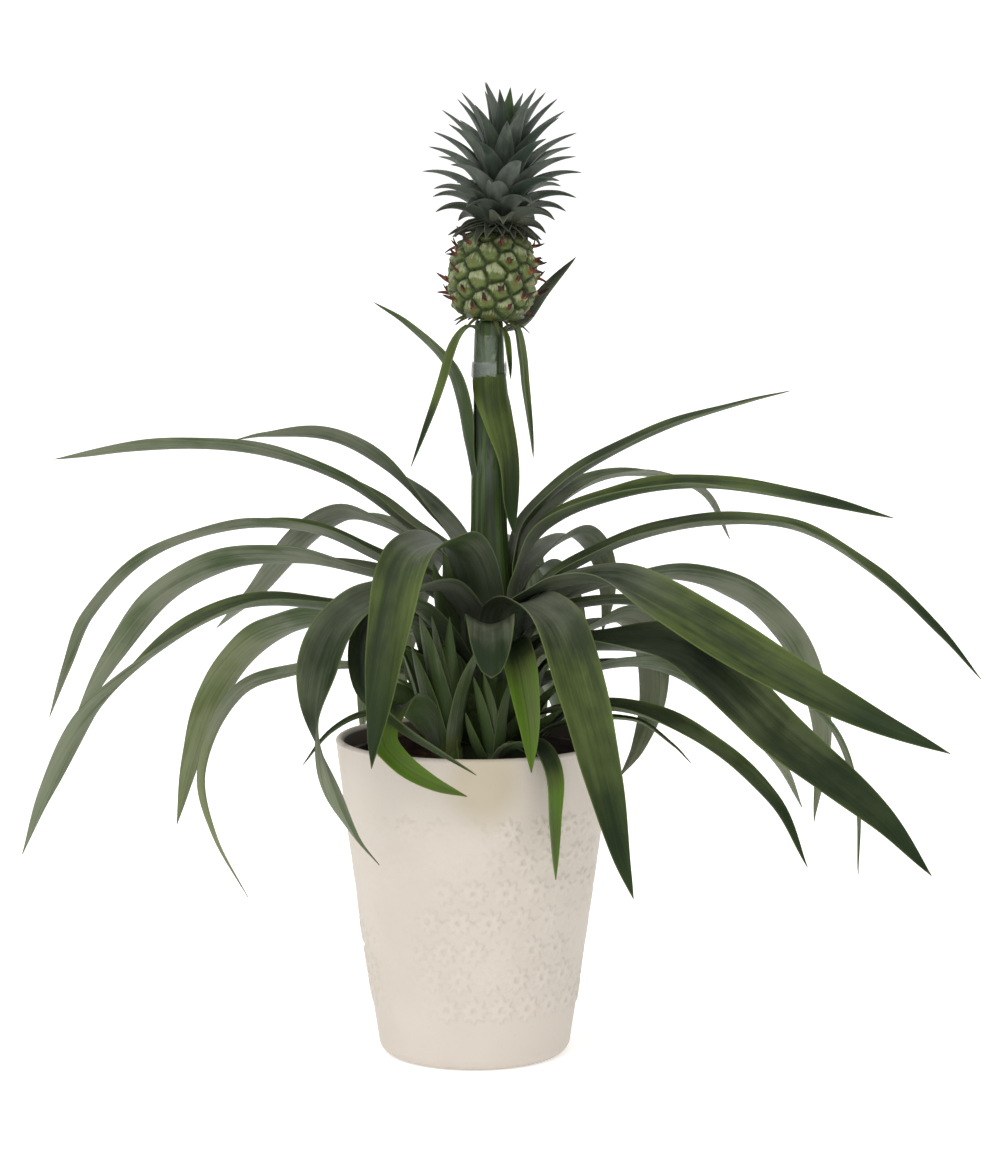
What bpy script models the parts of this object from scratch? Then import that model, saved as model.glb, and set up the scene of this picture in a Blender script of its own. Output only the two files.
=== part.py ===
"""A small ornamental pineapple plant in its nursery pot, standing in a tapered ceramic pot.

Lengths below are millimetres and angles are degrees; meshes are made in metres, +Z up.
The origin is the centre of the pot's underside, +X is the right of the front view and
+Y points away from it. An azimuth turns from +X towards +Y, so 270 faces the front.
"""
import math
import random

import bmesh
import bpy
from mathutils import Matrix, Vector, noise
from mathutils.geometry import interpolate_bezier

MM = 0.001
GAP = 0.3
MERGE = 0.00001

# Ceramic pot
POT_HEIGHT = 165.0
POT_RIM_RADIUS = 71.6
POT_BULGE = 0.8
POT_WALL = 4.3
POT_LIP_ROUND = 2.0
POT_FLOOR = 7.0
POT_FLOOR_ROUND = 6.0
POT_FOOT_ROUND = 7.0
POT_FOOT_RADIUS = 49.8
POT_STEPS = 40

# Nursery pot, wedged by its rim bead in the taper of the ceramic pot
NURSERY_RIM_LOW = 151.0
NURSERY_RIM_HIGH = 157.0
NURSERY_BASE = 40.0
NURSERY_BASE_RADIUS = 45.0
NURSERY_WALL = 1.0
NURSERY_STEP_IN = 2.4
DRAIN_RADIUS = 4.0
DRAIN_CIRCLE = 30.0
DRAIN_COUNT = 5
NURSERY_STEPS = 28

# Soil
SOIL_TOP = 147.0
SOIL_CROWN = 2.0
SOIL_ROUGHNESS = 1.6
SOIL_STEPS = 28

# Stem and fruit stalk: height and radius, from the top down
STEM_X = 7.5
STEM_PROFILE = ((379.0, 7.2), (340.0, 7.9), (275.0, 9.5), (262.0, 10.2), (235.0, 13.5),
                (205.0, 15.5), (150.0, 16.5), (118.0, 16.5))
STEM_STEPS = 20

# Clear rolled sleeve round the stalk under the fruit
SLEEVE_LOW = 350.0
SLEEVE_HIGH = 373.0
SLEEVE_INNER = 8.5
SLEEVE_WALL = 0.8
SLEEVE_SLIT = 50.0
SLEEVE_SLIT_AZIMUTH = 320.0
SLEEVE_STEPS = 14

# Fruit, leaning a little to the right on its stalk
FRUIT_LEAN = 5.5
FRUIT_SEAT = 379.7
FRUIT_HEIGHT = 44.0
FRUIT_RADIUS = 21.0
FRUIT_END_SHARE = 0.34
FRUIT_FULLNESS = 0.5
FRUIT_EYES = 41
FRUIT_EYE_RISE = 2.4
FRUIT_SEAM_REACH = 5.0
FRUIT_STEPS = 36
FRUIT_RINGS = 16
GOLDEN_ANGLE = 137.508

# Dry bract on each eye: range of its length and of its tilt, depth it is set in, end radii
BRACT_LENGTH = (7.0, 10.0)
BRACT_TILT = (70, 100)
BRACT_SPIN = 0.2
BRACT_SINK = 2.2
BRACT_RADII = (1.2, 0.35)
BRACT_ZONE = (0.08, 0.9)

# Crown of small leaves round a short core. Pairs are for the lowest and the top leaves; a
# leaf's slope is given at its foot and at its tip
CROWN_LEAN = 5.0
CROWN_SEAT = 0.8
CROWN_LEAVES = 47
CROWN_STATIONS = 4
CROWN_LEAF_WIDTH = (16.5, 10.5)
CROWN_LEAF_LENGTH = 17.0
CROWN_LEAF_GAIN = 33.0
CROWN_TOP_LOSS = 10.0
CROWN_FOOT_SLOPE = (16, 86)
CROWN_TIP_SLOPE = (-75, 80)
CROWN_CHANNEL = 0.7
CROWN_CORE_HEIGHT = 38.5
CROWN_CORE_RADIUS = 11.0
CROWN_CORE_TAPER = 0.72

# Blades: thickness, spacing of the stations along one, and the fold of its channel
BLADE_THICKNESS = 0.9
STATION_SPACING = 21.0
SEAT_CLEARANCE = 0.8
KEEL_SHARE = 0.5

# Share of the full width at the foot of a leaf, and of a shoot's leaf
LEAF_ROOT = 0.42
SHOOT_ROOT = 0.75

# Side shoots: the stub that stands in the soil, and the spacing of stations on their leaves
SHOOT_FOOT = 128.0
SHOOT_STUB = 40.0
SHOOT_SPACING = 18.0

GREEN = (0.10, 0.17, 0.06)
PALE_GREEN = (0.17, 0.22, 0.13)
BRIGHT_GREEN = (0.15, 0.27, 0.04)
CROWN_GREEN = (0.07, 0.10, 0.07)
CREAM = (0.70, 0.64, 0.55)
STEM_GREEN = (0.12, 0.18, 0.09)
FRUIT_GREEN = (0.20, 0.27, 0.09)
DARK_PLASTIC = (0.05, 0.03, 0.03)
SOIL_BROWN = (0.035, 0.025, 0.02)
CLEAR_PLASTIC = (0.75, 0.78, 0.80)

# Each leaf: name, azimuth, seat height on the stem, width, roll at the middle and the tip,
# sideways sway of the tip, colour, and its route as (out from the stem, height)
LEAVES = (
    ("leaf_left_01", 168, 250, 22, (20, 40), 0, PALE_GREEN,
     ((39, 272), (76, 297), (124, 311), (177, 312), (233, 304))),
    ("leaf_left_02", 150, 257, 22, (18, 10), 0, PALE_GREEN,
     ((32, 280), (62, 303), (96, 316), (137, 315), (155, 312))),
    ("leaf_left_03", 140, 244, 26, (20, 22), 0, PALE_GREEN,
     ((38, 260), (68, 271), (101, 273), (132, 257), (166, 226), (196, 204))),
    ("leaf_left_04", 174, 238, 22, (7, 38), 0, GREEN,
     ((53, 256), (90, 272), (132, 273), (177, 257), (209, 225), (221, 198), (231, 171))),
    ("leaf_left_05", 153, 228, 27, (30, 45), 0, PALE_GREEN,
     ((40, 240), (73, 248), (112, 252), (160, 246), (200, 225), (231, 190), (258, 149))),
    ("leaf_left_06", 200, 214, 23, (-5, 125), 0, GREEN,
     ((45, 228), (90, 238), (131, 240), (167, 225), (209, 190), (233, 150), (245, 120))),
    ("leaf_left_07", 147, 205, 28, (28, 40), 0, PALE_GREEN,
     ((40, 215), (75, 221), (110, 218), (149, 203), (178, 172), (194, 135), (205, 97))),
    ("leaf_left_08", 192, 188, 15, (20, 50), 0, GREEN,
     ((40, 199), (69, 204), (101, 202), (130, 192), (149, 153), (143, 119), (126, 86))),
    ("leaf_left_09", 226, 230, 29, (-15, 200), 0, GREEN,
     ((36, 246), (76, 246), (108, 232), (123, 199), (118, 166), (97, 128), (79, 109))),
    ("leaf_left_10", 242, 243, 34, (0, 0), 0, BRIGHT_GREEN,
     ((32, 268), (61, 272), (85, 265), (103, 229), (117, 183), (121, 167))),
    ("leaf_left_11", 222, 205, 20, (0, 0), 60, BRIGHT_GREEN,
     ((45, 234), (68, 241), (90, 227), (98, 203), (89, 187), (62, 160))),
    ("leaf_left_12", 203, 166, 10, (0, 0), 0, GREEN,
     ((40, 179), (68, 181), (87, 173), (102, 157))),
    ("leaf_right_01", 12, 257, 19, (3, 0), 0, PALE_GREEN,
     ((19, 276), (39, 296), (66, 312), (100, 326), (137, 336), (160, 341))),
    ("leaf_right_02", 35, 253, 20, (0, 0), 0, PALE_GREEN,
     ((39, 282), (73, 296), (112, 294), (141, 282), (158, 257))),
    ("leaf_right_03", 355, 245, 25, (8, 30), 0, GREEN,
     ((29, 275), (68, 292), (109, 297), (155, 291), (206, 280))),
    ("leaf_right_04", 56, 237, 22, (-18, -18), 0, PALE_GREEN,
     ((38, 253), (67, 262), (88, 262), (108, 247), (114, 226), (109, 206))),
    ("leaf_right_05", 40, 198, 26, (-25, -28), 0, PALE_GREEN,
     ((35, 208), (65, 216), (93, 219), (110, 206), (114, 175), (104, 148), (91, 133))),
    ("leaf_right_06", 8, 226, 21, (8, 45), 0, GREEN,
     ((31, 244), (68, 265), (115, 275), (162, 271), (204, 246), (239, 214), (261, 189))),
    ("leaf_right_07", 30, 218, 26, (-28, -32), 0, PALE_GREEN,
     ((40, 233), (75, 242), (118, 242), (160, 227), (191, 199), (209, 153), (205, 100))),
    ("leaf_right_08", 335, 232, 31, (48, 52), 0, GREEN,
     ((27, 241), (63, 252), (96, 240), (154, 211), (207, 188), (248, 174))),
    ("leaf_right_09", 345, 200, 36, (48, 58), 0, GREEN,
     ((30, 210), (73, 217), (106, 211), (152, 172), (203, 133), (230, 104))),
    ("leaf_right_10", 20, 184, 22, (-22, -25), 0, PALE_GREEN,
     ((35, 193), (77, 200), (109, 191), (142, 166), (165, 140), (178, 116))),
    ("leaf_right_11", 345, 172, 18, (20, 35), 0, GREEN,
     ((35, 180), (72, 183), (110, 170), (149, 139), (167, 105))),
    ("leaf_right_12", 350, 158, 9, (0, 0), 0, BRIGHT_GREEN,
     ((35, 172), (75, 176), (96, 163), (105, 154))),
    ("leaf_right_13", 10, 212, 18, (0, 0), 0, GREEN,
     ((35, 229), (80, 233), (130, 208), (180, 168), (196, 130), (198, 85))),
    ("leaf_front_01", 303, 224, 35, (0, 0), 0, GREEN,
     ((22, 235), (42, 238), (64, 229), (83, 197), (102, 158), (119, 121), (130, 103))),
    ("leaf_front_02", 285, 200, 21, (0, 0), 0, BRIGHT_GREEN,
     ((24, 214), (40, 220), (57, 212), (69, 197), (78, 181), (82, 160))),
    ("leaf_front_03", 271, 210, 28, (0, 0), 0, GREEN,
     ((24, 224), (40, 231), (60, 227), (84, 208))),
    ("leaf_back_01", 66, 226, 22, (0, 0), 0, GREEN,
     ((35, 243), (70, 247), (100, 227), (118, 190), (126, 150))),
    ("leaf_back_02", 80, 243, 22, (0, 0), 0, GREEN,
     ((30, 258), (66, 264), (106, 250), (142, 212), (166, 168), (176, 134))),
    ("leaf_back_03", 96, 214, 24, (0, 0), 0, GREEN,
     ((35, 232), (84, 243), (134, 230), (176, 190), (196, 146), (200, 116))),
    ("leaf_back_04", 112, 236, 22, (0, 0), 0, GREEN,
     ((32, 251), (66, 254), (98, 234), (122, 196), (132, 158))),
    ("leaf_back_05", 126, 218, 22, (0, 0), 0, GREEN,
     ((35, 232), (66, 235), (96, 214), (114, 176), (118, 146))),
    ("leaf_back_06", 84, 190, 22, (0, 0), 0, GREEN,
     ((35, 201), (80, 208), (124, 190), (152, 150), (162, 112))),
    ("leaf_back_07", 106, 178, 20, (0, 0), 0, GREEN,
     ((35, 188), (78, 194), (118, 178), (146, 140), (156, 104))),
    ("leaf_back_08", 68, 168, 16, (0, 0), 0, GREEN,
     ((35, 178), (75, 183), (102, 166), (118, 134), (122, 112))),
)

# Leaves on the stalk, in the same form
STALK_LEAVES = (
    ("stalk_leaf_01", 196, 292, 17, (0, 12), 0, GREEN,
     ((11.2, 316), (14, 338), (22, 358), (43, 378), (60, 389))),
    ("stalk_leaf_02", 224, 375, 6, (0, 0), 0, BRIGHT_GREEN,
     ((14, 377), (23, 370), (32, 350), (43, 328), (54, 308))),
    ("stalk_leaf_03", 345, 375, 6, (0, 0), 0, BRIGHT_GREEN,
     ((13.5, 377), (17.6, 361), (19, 346), (22.5, 320), (23.5, 310))),
    ("stalk_leaf_04", 38, 374, 14, (0, 0), 0, GREEN,
     ((13, 374), (23, 378), (36, 392), (57, 410))),
    ("stalk_leaf_05", 310, 348, 19, (-14, 10), 0, GREEN,
     ((11, 347), (14, 334), (15.5, 312), (16.5, 290), (20, 271))),
    ("stalk_leaf_06", 318, 376, 5, (0, 0), 0, BRIGHT_GREEN,
     ((11.5, 373), (14, 360), (15, 350))),
)

# Young side shoots: foot of each on the soil, radius of its stub, and its leaves as a width
# and a route of points (x, y, height)
SHOOTS = (
    ("shoot_left", (-12, -38), 8.0, (
        (12, ((-13, -39, 158), (-17, -43, 188), (-22, -48, 214), (-27, -52, 235))),
        (10, ((-12, -37, 158), (-15, -39, 190), (-18, -41, 214), (-21, -43, 233))),
        (12, ((-15, -39, 158), (-21, -42, 180), (-26, -45, 200), (-31, -49, 219))),
        (12, ((-9, -39, 158), (-8, -43, 180), (-3, -46, 202), (7, -46, 225))),
        (7, ((-11, -39, 158), (-11, -42, 190), (-12, -44, 215), (-12, -46, 233))),
        (10, ((-15, -36, 158), (-24, -34, 178), (-30, -33, 198), (-37, -32, 217))),
        (19, ((-14, -40, 160), (-25, -50, 184), (-38, -62, 192), (-45, -76, 178), (-36, -84, 166),
              (-20, -86, 156), (-3, -84, 149))),
    )),
    ("shoot_right", (10, -46), 6.5, (
        (9, ((9, -47, 156), (6, -49, 174), (3, -51, 190), (0, -53, 204))),
        (7, ((10, -46, 156), (9, -50, 178), (7, -52, 194), (5, -53, 206))),
        (9, ((12, -47, 156), (14, -49, 174), (16, -50, 190), (20, -50, 206))),
        (7, ((7, -47, 156), (2, -50, 166), (-2, -52, 177), (-4, -54, 186))),
        (17, ((12, -48, 158), (19, -54, 168), (31, -63, 171), (39, -70, 158), (40, -70, 134),
              (41, -69, 104))),
    )),
)


def clear_scene():
    for item in list(bpy.data.objects):
        bpy.data.objects.remove(item, do_unlink=True)


def collection(name):
    made = bpy.data.collections.new(name)
    bpy.context.scene.collection.children.link(made)
    return made


def paint(item, colour, roughness, alpha=1.0):
    made = bpy.data.materials.new(item.name + "_finish")
    made.use_nodes = True
    shader = made.node_tree.nodes["Principled BSDF"]
    shader.inputs["Base Color"].default_value = (*colour, 1.0)
    shader.inputs["Roughness"].default_value = roughness
    shader.inputs["Metallic"].default_value = 0.0
    shader.inputs["Alpha"].default_value = alpha
    item.data.materials.clear()
    item.data.materials.append(made)


def mesh_object(name, bm, where):
    mesh = bpy.data.meshes.new(name)
    bm.to_mesh(mesh)
    bm.free()
    item = bpy.data.objects.new(name, mesh)
    where.objects.link(item)
    return item


def arc(centre_r, centre_z, radius, start, end, count):
    """Points (radius, height) on an arc, from one angle to the other."""
    turns = (math.radians(start + (end - start) * i / (count - 1)) for i in range(count))
    return [(centre_r + radius * math.cos(t), centre_z + radius * math.sin(t)) for t in turns]


def turned(name, profile, steps, where):
    """A closed round body from a profile of (radius, height) that runs down its outer side."""
    bm = bmesh.new()
    verts = [bm.verts.new((r * MM, 0.0, z * MM)) for r, z in profile]
    for a, b in zip(verts, verts[1:]):
        bm.edges.new((a, b))
    item = mesh_object(name, bm, where)
    screw = item.modifiers.new("Turn", "SCREW")
    screw.steps = steps
    screw.render_steps = steps
    screw.use_merge_vertices = True
    screw.merge_threshold = MERGE
    screw.use_smooth_shade = True
    return item


def apply_modifiers(item):
    """Turn an object's evaluated shape into its own mesh."""
    shape = item.evaluated_get(bpy.context.evaluated_depsgraph_get())
    mesh = bpy.data.meshes.new_from_object(shape)
    item.modifiers.clear()
    item.data = mesh


def cut(item, cutter):
    boolean = item.modifiers.new("Cut", "BOOLEAN")
    boolean.operation = "DIFFERENCE"
    boolean.object = cutter


def round_cutter(name, radius, low, high, x, y, where):
    bm = bmesh.new()
    bmesh.ops.create_cone(bm, cap_ends=True, segments=20, radius1=radius * MM, radius2=radius * MM,
                          depth=(high - low) * MM)
    item = mesh_object(name, bm, where)
    item.location = (x * MM, y * MM, (low + high) / 2 * MM)
    item.hide_render = True
    item.display_type = "WIRE"
    return item


def blend(low, high, value):
    """Smooth step from 0 at low to 1 at high."""
    t = min(max((value - low) / (high - low), 0.0), 1.0)
    return t * t * (3 - 2 * t)


def mix(pair, share):
    return pair[0] + (pair[1] - pair[0]) * share


def stem_radius(height):
    for (z1, r1), (z0, r0) in zip(STEM_PROFILE, STEM_PROFILE[1:]):
        if z0 <= height <= z1:
            return mix((r0, r1), (height - z0) / (z1 - z0))
    return STEM_PROFILE[-1][1]


def pot_outer(height):
    """Outside of the ceramic pot above its rounded foot: a taper that bulges very slightly."""
    rise = (height - POT_FOOT_ROUND) / (POT_HEIGHT - POT_FOOT_ROUND)
    return mix((POT_FOOT_RADIUS, POT_RIM_RADIUS), rise) + POT_BULGE * math.sin(math.pi * rise)


def nursery_outer(height):
    """Outside of the nursery pot's wall below its rim bead."""
    top = nursery_rim_radius() - NURSERY_STEP_IN
    rise = (height - NURSERY_BASE) / (NURSERY_RIM_LOW - NURSERY_BASE)
    return mix((NURSERY_BASE_RADIUS, top), rise)


def nursery_rim_radius():
    return pot_outer(NURSERY_RIM_LOW) - POT_WALL - GAP


def smooth_route(points, spacing):
    """Evenly spaced points on a smooth curve through a route."""
    ways = []
    for i, point in enumerate(points):
        before = points[max(i - 1, 0)]
        after = points[min(i + 1, len(points) - 1)]
        ways.append((after - before).normalized())
    dense = []
    for i in range(len(points) - 1):
        reach = (points[i + 1] - points[i]).length / 3
        dense += interpolate_bezier(points[i], points[i] + ways[i] * reach,
                                    points[i + 1] - ways[i + 1] * reach, points[i + 1], 16)[:-1]
    dense.append(points[-1])
    runs = [0.0]
    for a, b in zip(dense, dense[1:]):
        runs.append(runs[-1] + (b - a).length)
    count = max(5, round(runs[-1] / spacing) + 1)
    even = []
    j = 0
    for i in range(count):
        goal = runs[-1] * i / (count - 1)
        while j < len(dense) - 2 and runs[j + 1] < goal:
            j += 1
        share = (goal - runs[j]) / max(runs[j + 1] - runs[j], 1e-9)
        even.append(dense[j].lerp(dense[j + 1], min(share, 1.0)))
    return even


def blade_width(along, root):
    """Share of a leaf's full width: narrower at its foot, then broad, then a long point."""
    return (root + (1 - root) * blend(0.0, 0.3, along)) * max(1 - along ** 3.2, 0.0) ** 0.8


def blade_fold(along):
    """How far each half of the blade is folded up, from a channel to a nearly flat tip."""
    return math.radians(10 + 18 * blend(0.0, 0.12, along) * (1 - 0.55 * along))


def blade_roll(along, rolls):
    middle, tip = rolls
    if along < 0.5:
        return math.radians(middle * blend(0.1, 0.5, along))
    return math.radians(mix((middle, tip), blend(0.5, 1.0, along)))


def blade_mesh(route, side, width, rolls, spacing, root=LEAF_ROOT):
    """One leaf blade: a grid laid along the route, split alike on both faces by Solidify."""
    stations = smooth_route(route, spacing)
    last = len(stations) - 1
    bm = bmesh.new()
    bmesh.ops.create_grid(bm, x_segments=2, y_segments=last, size=0.5)
    for vert in bm.verts:
        i = round((vert.co.y + 0.5) * last)
        across = round(vert.co.x * 2)
        along = i / last
        way = (stations[min(i + 1, last)] - stations[max(i - 1, 0)]).normalized()
        flat = (side - way * side.dot(way)).normalized()
        up = way.cross(flat)
        roll = blade_roll(along, rolls)
        flat, up = flat * math.cos(roll) + up * math.sin(roll), up * math.cos(roll) - flat * math.sin(roll)
        half = max(width * blade_width(along, root), 1.0) / 2
        fold = blade_fold(along)
        lift = (abs(across) - KEEL_SHARE * blend(0.0, 0.2, along)) * half * math.sin(fold)
        vert.co = (stations[i] + flat * across * half * math.cos(fold) + up * lift) * MM
    bmesh.ops.triangulate(bm, faces=bm.faces)
    return bm


def thicken(item, thickness):
    solid = item.modifiers.new("Thickness", "SOLIDIFY")
    solid.thickness = thickness * MM
    solid.offset = 0.0


def leaf(name, azimuth, seat, width, rolls, sway, colour, route, where):
    """A leaf that grows from the stem at its seat height and follows its route outwards."""
    turn = math.radians(azimuth)
    out = Vector((math.cos(turn), math.sin(turn), 0.0))
    side = Vector((-math.sin(turn), math.cos(turn), 0.0))
    places = [(stem_radius(seat) + SEAT_CLEARANCE, seat), *route]
    runs = [0.0]
    for before, after in zip(places, places[1:]):
        runs.append(runs[-1] + math.dist(before, after))
    spots = []
    for (reach, height), run in zip(places, runs):
        drift = sway * (run / runs[-1]) ** 3
        spots.append(Vector((STEM_X, 0, height)) + out * reach + side * drift)
    item = mesh_object(name, blade_mesh(spots, side, width, rolls, STATION_SPACING), where)
    thicken(item, BLADE_THICKNESS)
    paint(item, colour, 0.5)
    return item


def fuse(name, pieces, where):
    """Join loose closed pieces into one body, and remove what they were made from."""
    tools = collection(name + "_pieces")
    base = pieces[0]
    for piece in pieces[1:]:
        for home in list(piece.users_collection):
            home.objects.unlink(piece)
        tools.objects.link(piece)
    union = base.modifiers.new("Union", "BOOLEAN")
    union.operation = "UNION"
    union.operand_type = "COLLECTION"
    union.collection = tools
    union.solver = "MANIFOLD"
    apply_modifiers(base)
    for piece in list(tools.objects):
        bpy.data.objects.remove(piece, do_unlink=True)
    bpy.data.collections.remove(tools)
    base.name = name
    return base


def make_pot(where):
    floor_top = POT_FLOOR + POT_FLOOR_ROUND
    floor_edge = pot_outer(floor_top) - POT_WALL - POT_FLOOR_ROUND
    heights = [floor_top + (POT_HEIGHT - POT_LIP_ROUND - floor_top) * i / 3 for i in range(4)]
    profile = [(0, POT_FLOOR)]
    profile += arc(floor_edge, floor_top, POT_FLOOR_ROUND, -90, -20, 3)
    profile += [(pot_outer(z) - POT_WALL, z) for z in heights]
    profile += arc(POT_RIM_RADIUS - POT_LIP_ROUND, POT_HEIGHT - POT_LIP_ROUND, POT_LIP_ROUND, 135, 0, 5)
    profile += [(pot_outer(z), z) for z in heights[-2::-1]]
    profile += arc(POT_FOOT_RADIUS - POT_FOOT_ROUND, POT_FOOT_ROUND, POT_FOOT_ROUND, 0, -90, 5)
    profile += [(0, 0)]
    pot = turned("pot", profile, POT_STEPS, where)
    paint(pot, CREAM, 0.6)


def make_nursery_pot(where, cutters):
    rim = nursery_rim_radius()
    wall = nursery_outer(NURSERY_RIM_LOW)
    base = NURSERY_BASE_RADIUS
    profile = [(0, NURSERY_BASE + NURSERY_WALL), (base - NURSERY_WALL, NURSERY_BASE + NURSERY_WALL),
               (wall - NURSERY_WALL, NURSERY_RIM_LOW), (wall - NURSERY_WALL, NURSERY_RIM_HIGH - 0.5),
               (wall - NURSERY_WALL + 0.5, NURSERY_RIM_HIGH), (rim - 0.5, NURSERY_RIM_HIGH),
               (rim, NURSERY_RIM_HIGH - 0.5), (rim, NURSERY_RIM_LOW), (wall, NURSERY_RIM_LOW),
               (base, NURSERY_BASE + 1), (base - 1, NURSERY_BASE), (0, NURSERY_BASE)]
    pot = turned("nursery_pot", profile, NURSERY_STEPS, where)
    for i in range(DRAIN_COUNT):
        turn = 2 * math.pi * i / DRAIN_COUNT
        hole = round_cutter("drain_%d" % (i + 1), DRAIN_RADIUS, NURSERY_BASE - 3, NURSERY_BASE + 3,
                            DRAIN_CIRCLE * math.cos(turn), DRAIN_CIRCLE * math.sin(turn), cutters)
        cut(pot, hole)
    paint(pot, DARK_PLASTIC, 0.5)


def make_soil(where, cutters):
    """Potting soil that fills the nursery pot, with a plain hole for each stem."""
    low = NURSERY_BASE + NURSERY_WALL + GAP
    edge = nursery_outer(SOIL_TOP) - NURSERY_WALL - GAP
    low_edge = nursery_outer(low) - NURSERY_WALL - GAP
    profile = [(0, SOIL_TOP + SOIL_CROWN)]
    profile += [(edge * share, SOIL_TOP + SOIL_CROWN * (1 - share)) for share in (0.2, 0.4, 0.6, 0.8)]
    profile += [(edge, SOIL_TOP), (low_edge, low), (0, low)]
    soil = turned("soil", profile, SOIL_STEPS, where)
    apply_modifiers(soil)
    for vert in soil.data.vertices:
        if vert.co.z > (SOIL_TOP - 1) * MM and vert.co.xy.length < 0.95 * edge * MM:
            vert.co.z += SOIL_ROUGHNESS * MM * noise.noise(vert.co * 90)
    above = SOIL_TOP + 20
    foot, radius = STEM_PROFILE[-1]
    cut(soil, round_cutter("stem_hole", radius + GAP, foot - GAP, above, STEM_X, 0, cutters))
    for name, (x, y), radius, _ in SHOOTS:
        cut(soil, round_cutter(name + "_hole", radius + GAP, SHOOT_FOOT - GAP, above, x, y, cutters))
    paint(soil, SOIL_BROWN, 0.95)


def make_stem(where):
    profile = [(0, STEM_PROFILE[0][0])] + [(r, z) for z, r in STEM_PROFILE] + [(0, STEM_PROFILE[-1][0])]
    stem = turned("stem", profile, STEM_STEPS, where)
    stem.location.x = STEM_X * MM
    paint(stem, STEM_GREEN, 0.45)


def make_sleeve(where):
    """Clear rolled sleeve round the stalk, slit along one side."""
    bm = bmesh.new()
    bmesh.ops.create_grid(bm, x_segments=SLEEVE_STEPS, y_segments=1, size=0.5)
    middle = SLEEVE_INNER + SLEEVE_WALL / 2
    start = SLEEVE_SLIT_AZIMUTH + SLEEVE_SLIT / 2
    for vert in bm.verts:
        turn = math.radians(start + (360 - SLEEVE_SLIT) * (vert.co.x + 0.5))
        height = SLEEVE_LOW + (SLEEVE_HIGH - SLEEVE_LOW) * (vert.co.y + 0.5)
        vert.co = Vector((STEM_X + middle * math.cos(turn), middle * math.sin(turn), height)) * MM
    sleeve = mesh_object("stalk_sleeve", bm, where)
    thicken(sleeve, SLEEVE_WALL)
    paint(sleeve, CLEAR_PLASTIC, 0.1, 0.4)


def fruit_radius(share):
    """Radius of the bare fruit at a share of its height, between its two flat ends."""
    swell = math.sin(math.pi * (0.04 + 0.92 * share ** 0.92)) ** FRUIT_FULLNESS
    return FRUIT_RADIUS * (FRUIT_END_SHARE + (1 - FRUIT_END_SHARE) * swell)


def eye_centres():
    """Centre of each eye on a golden-angle spiral: azimuth in radians and share of the height."""
    return [(math.radians(GOLDEN_ANGLE * i), (i + 0.5) / FRUIT_EYES) for i in range(FRUIT_EYES)]


def fruit_point(turn, share, rise=0.0):
    r = fruit_radius(share) + rise
    return Vector((r * math.cos(turn), r * math.sin(turn), share * FRUIT_HEIGHT))


def make_fruit(where, parent):
    """Fruit body with an eye raised at each point of its spiral, and a dry bract on each eye."""
    eyes = eye_centres()
    spots = [fruit_point(turn, share) for turn, share in eyes]
    profile = [(0, FRUIT_HEIGHT)]
    profile += [(fruit_radius(1 - i / FRUIT_RINGS), FRUIT_HEIGHT * (1 - i / FRUIT_RINGS))
                for i in range(FRUIT_RINGS + 1)]
    profile += [(0, 0)]
    body = turned("fruit", profile, FRUIT_STEPS, where)
    apply_modifiers(body)
    for vert in body.data.vertices:
        place = vert.co / MM
        share = place.z / FRUIT_HEIGHT
        if place.xy.length > 1 and 0.03 < share < 0.97:
            near = sorted((place - spot).length for spot in spots)[:2]
            rise = FRUIT_EYE_RISE * blend(0.0, FRUIT_SEAM_REACH, near[1] - near[0])
            out = Vector((place.x, place.y, 0)).normalized()
            vert.co = (place + out * rise) * MM
    pieces = [body]
    draw = random.Random(7)
    for i, (turn, share) in enumerate(eyes):
        if not BRACT_ZONE[0] < share < BRACT_ZONE[1]:
            continue
        length = draw.uniform(*BRACT_LENGTH)
        bm = bmesh.new()
        bmesh.ops.create_cone(bm, cap_ends=True, segments=4, radius1=BRACT_RADII[0] * MM,
                              radius2=BRACT_RADII[1] * MM, depth=length * MM)
        lift = Matrix.Translation((0, 0, (length / 2 - BRACT_SINK) * MM))
        tilt = Matrix.Rotation(math.radians(draw.uniform(*BRACT_TILT)), 4, "Y")
        spin = Matrix.Rotation(turn + draw.uniform(-BRACT_SPIN, BRACT_SPIN), 4, "Z")
        place = Matrix.Translation(fruit_point(turn, share, FRUIT_EYE_RISE) * MM)
        bm.transform(place @ spin @ tilt @ lift)
        pieces.append(mesh_object("bract_%02d" % i, bm, where))
    fruit = fuse("fruit", pieces, where)
    fruit.parent = parent
    paint(fruit, FRUIT_GREEN, 0.5)


def crown_core_radius(share):
    """Radius of the crown's core at a share of its height."""
    return CROWN_CORE_RADIUS * (1 - CROWN_CORE_TAPER * share)


def crown_way(share, along):
    """Slope of a crown leaf in radians: low leaves spread and droop, the top ones stand up."""
    start = mix(CROWN_FOOT_SLOPE, share ** 0.45)
    end = mix(CROWN_TIP_SLOPE, share ** 0.65)
    return math.radians(mix((start, end), along ** 1.2))


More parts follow.
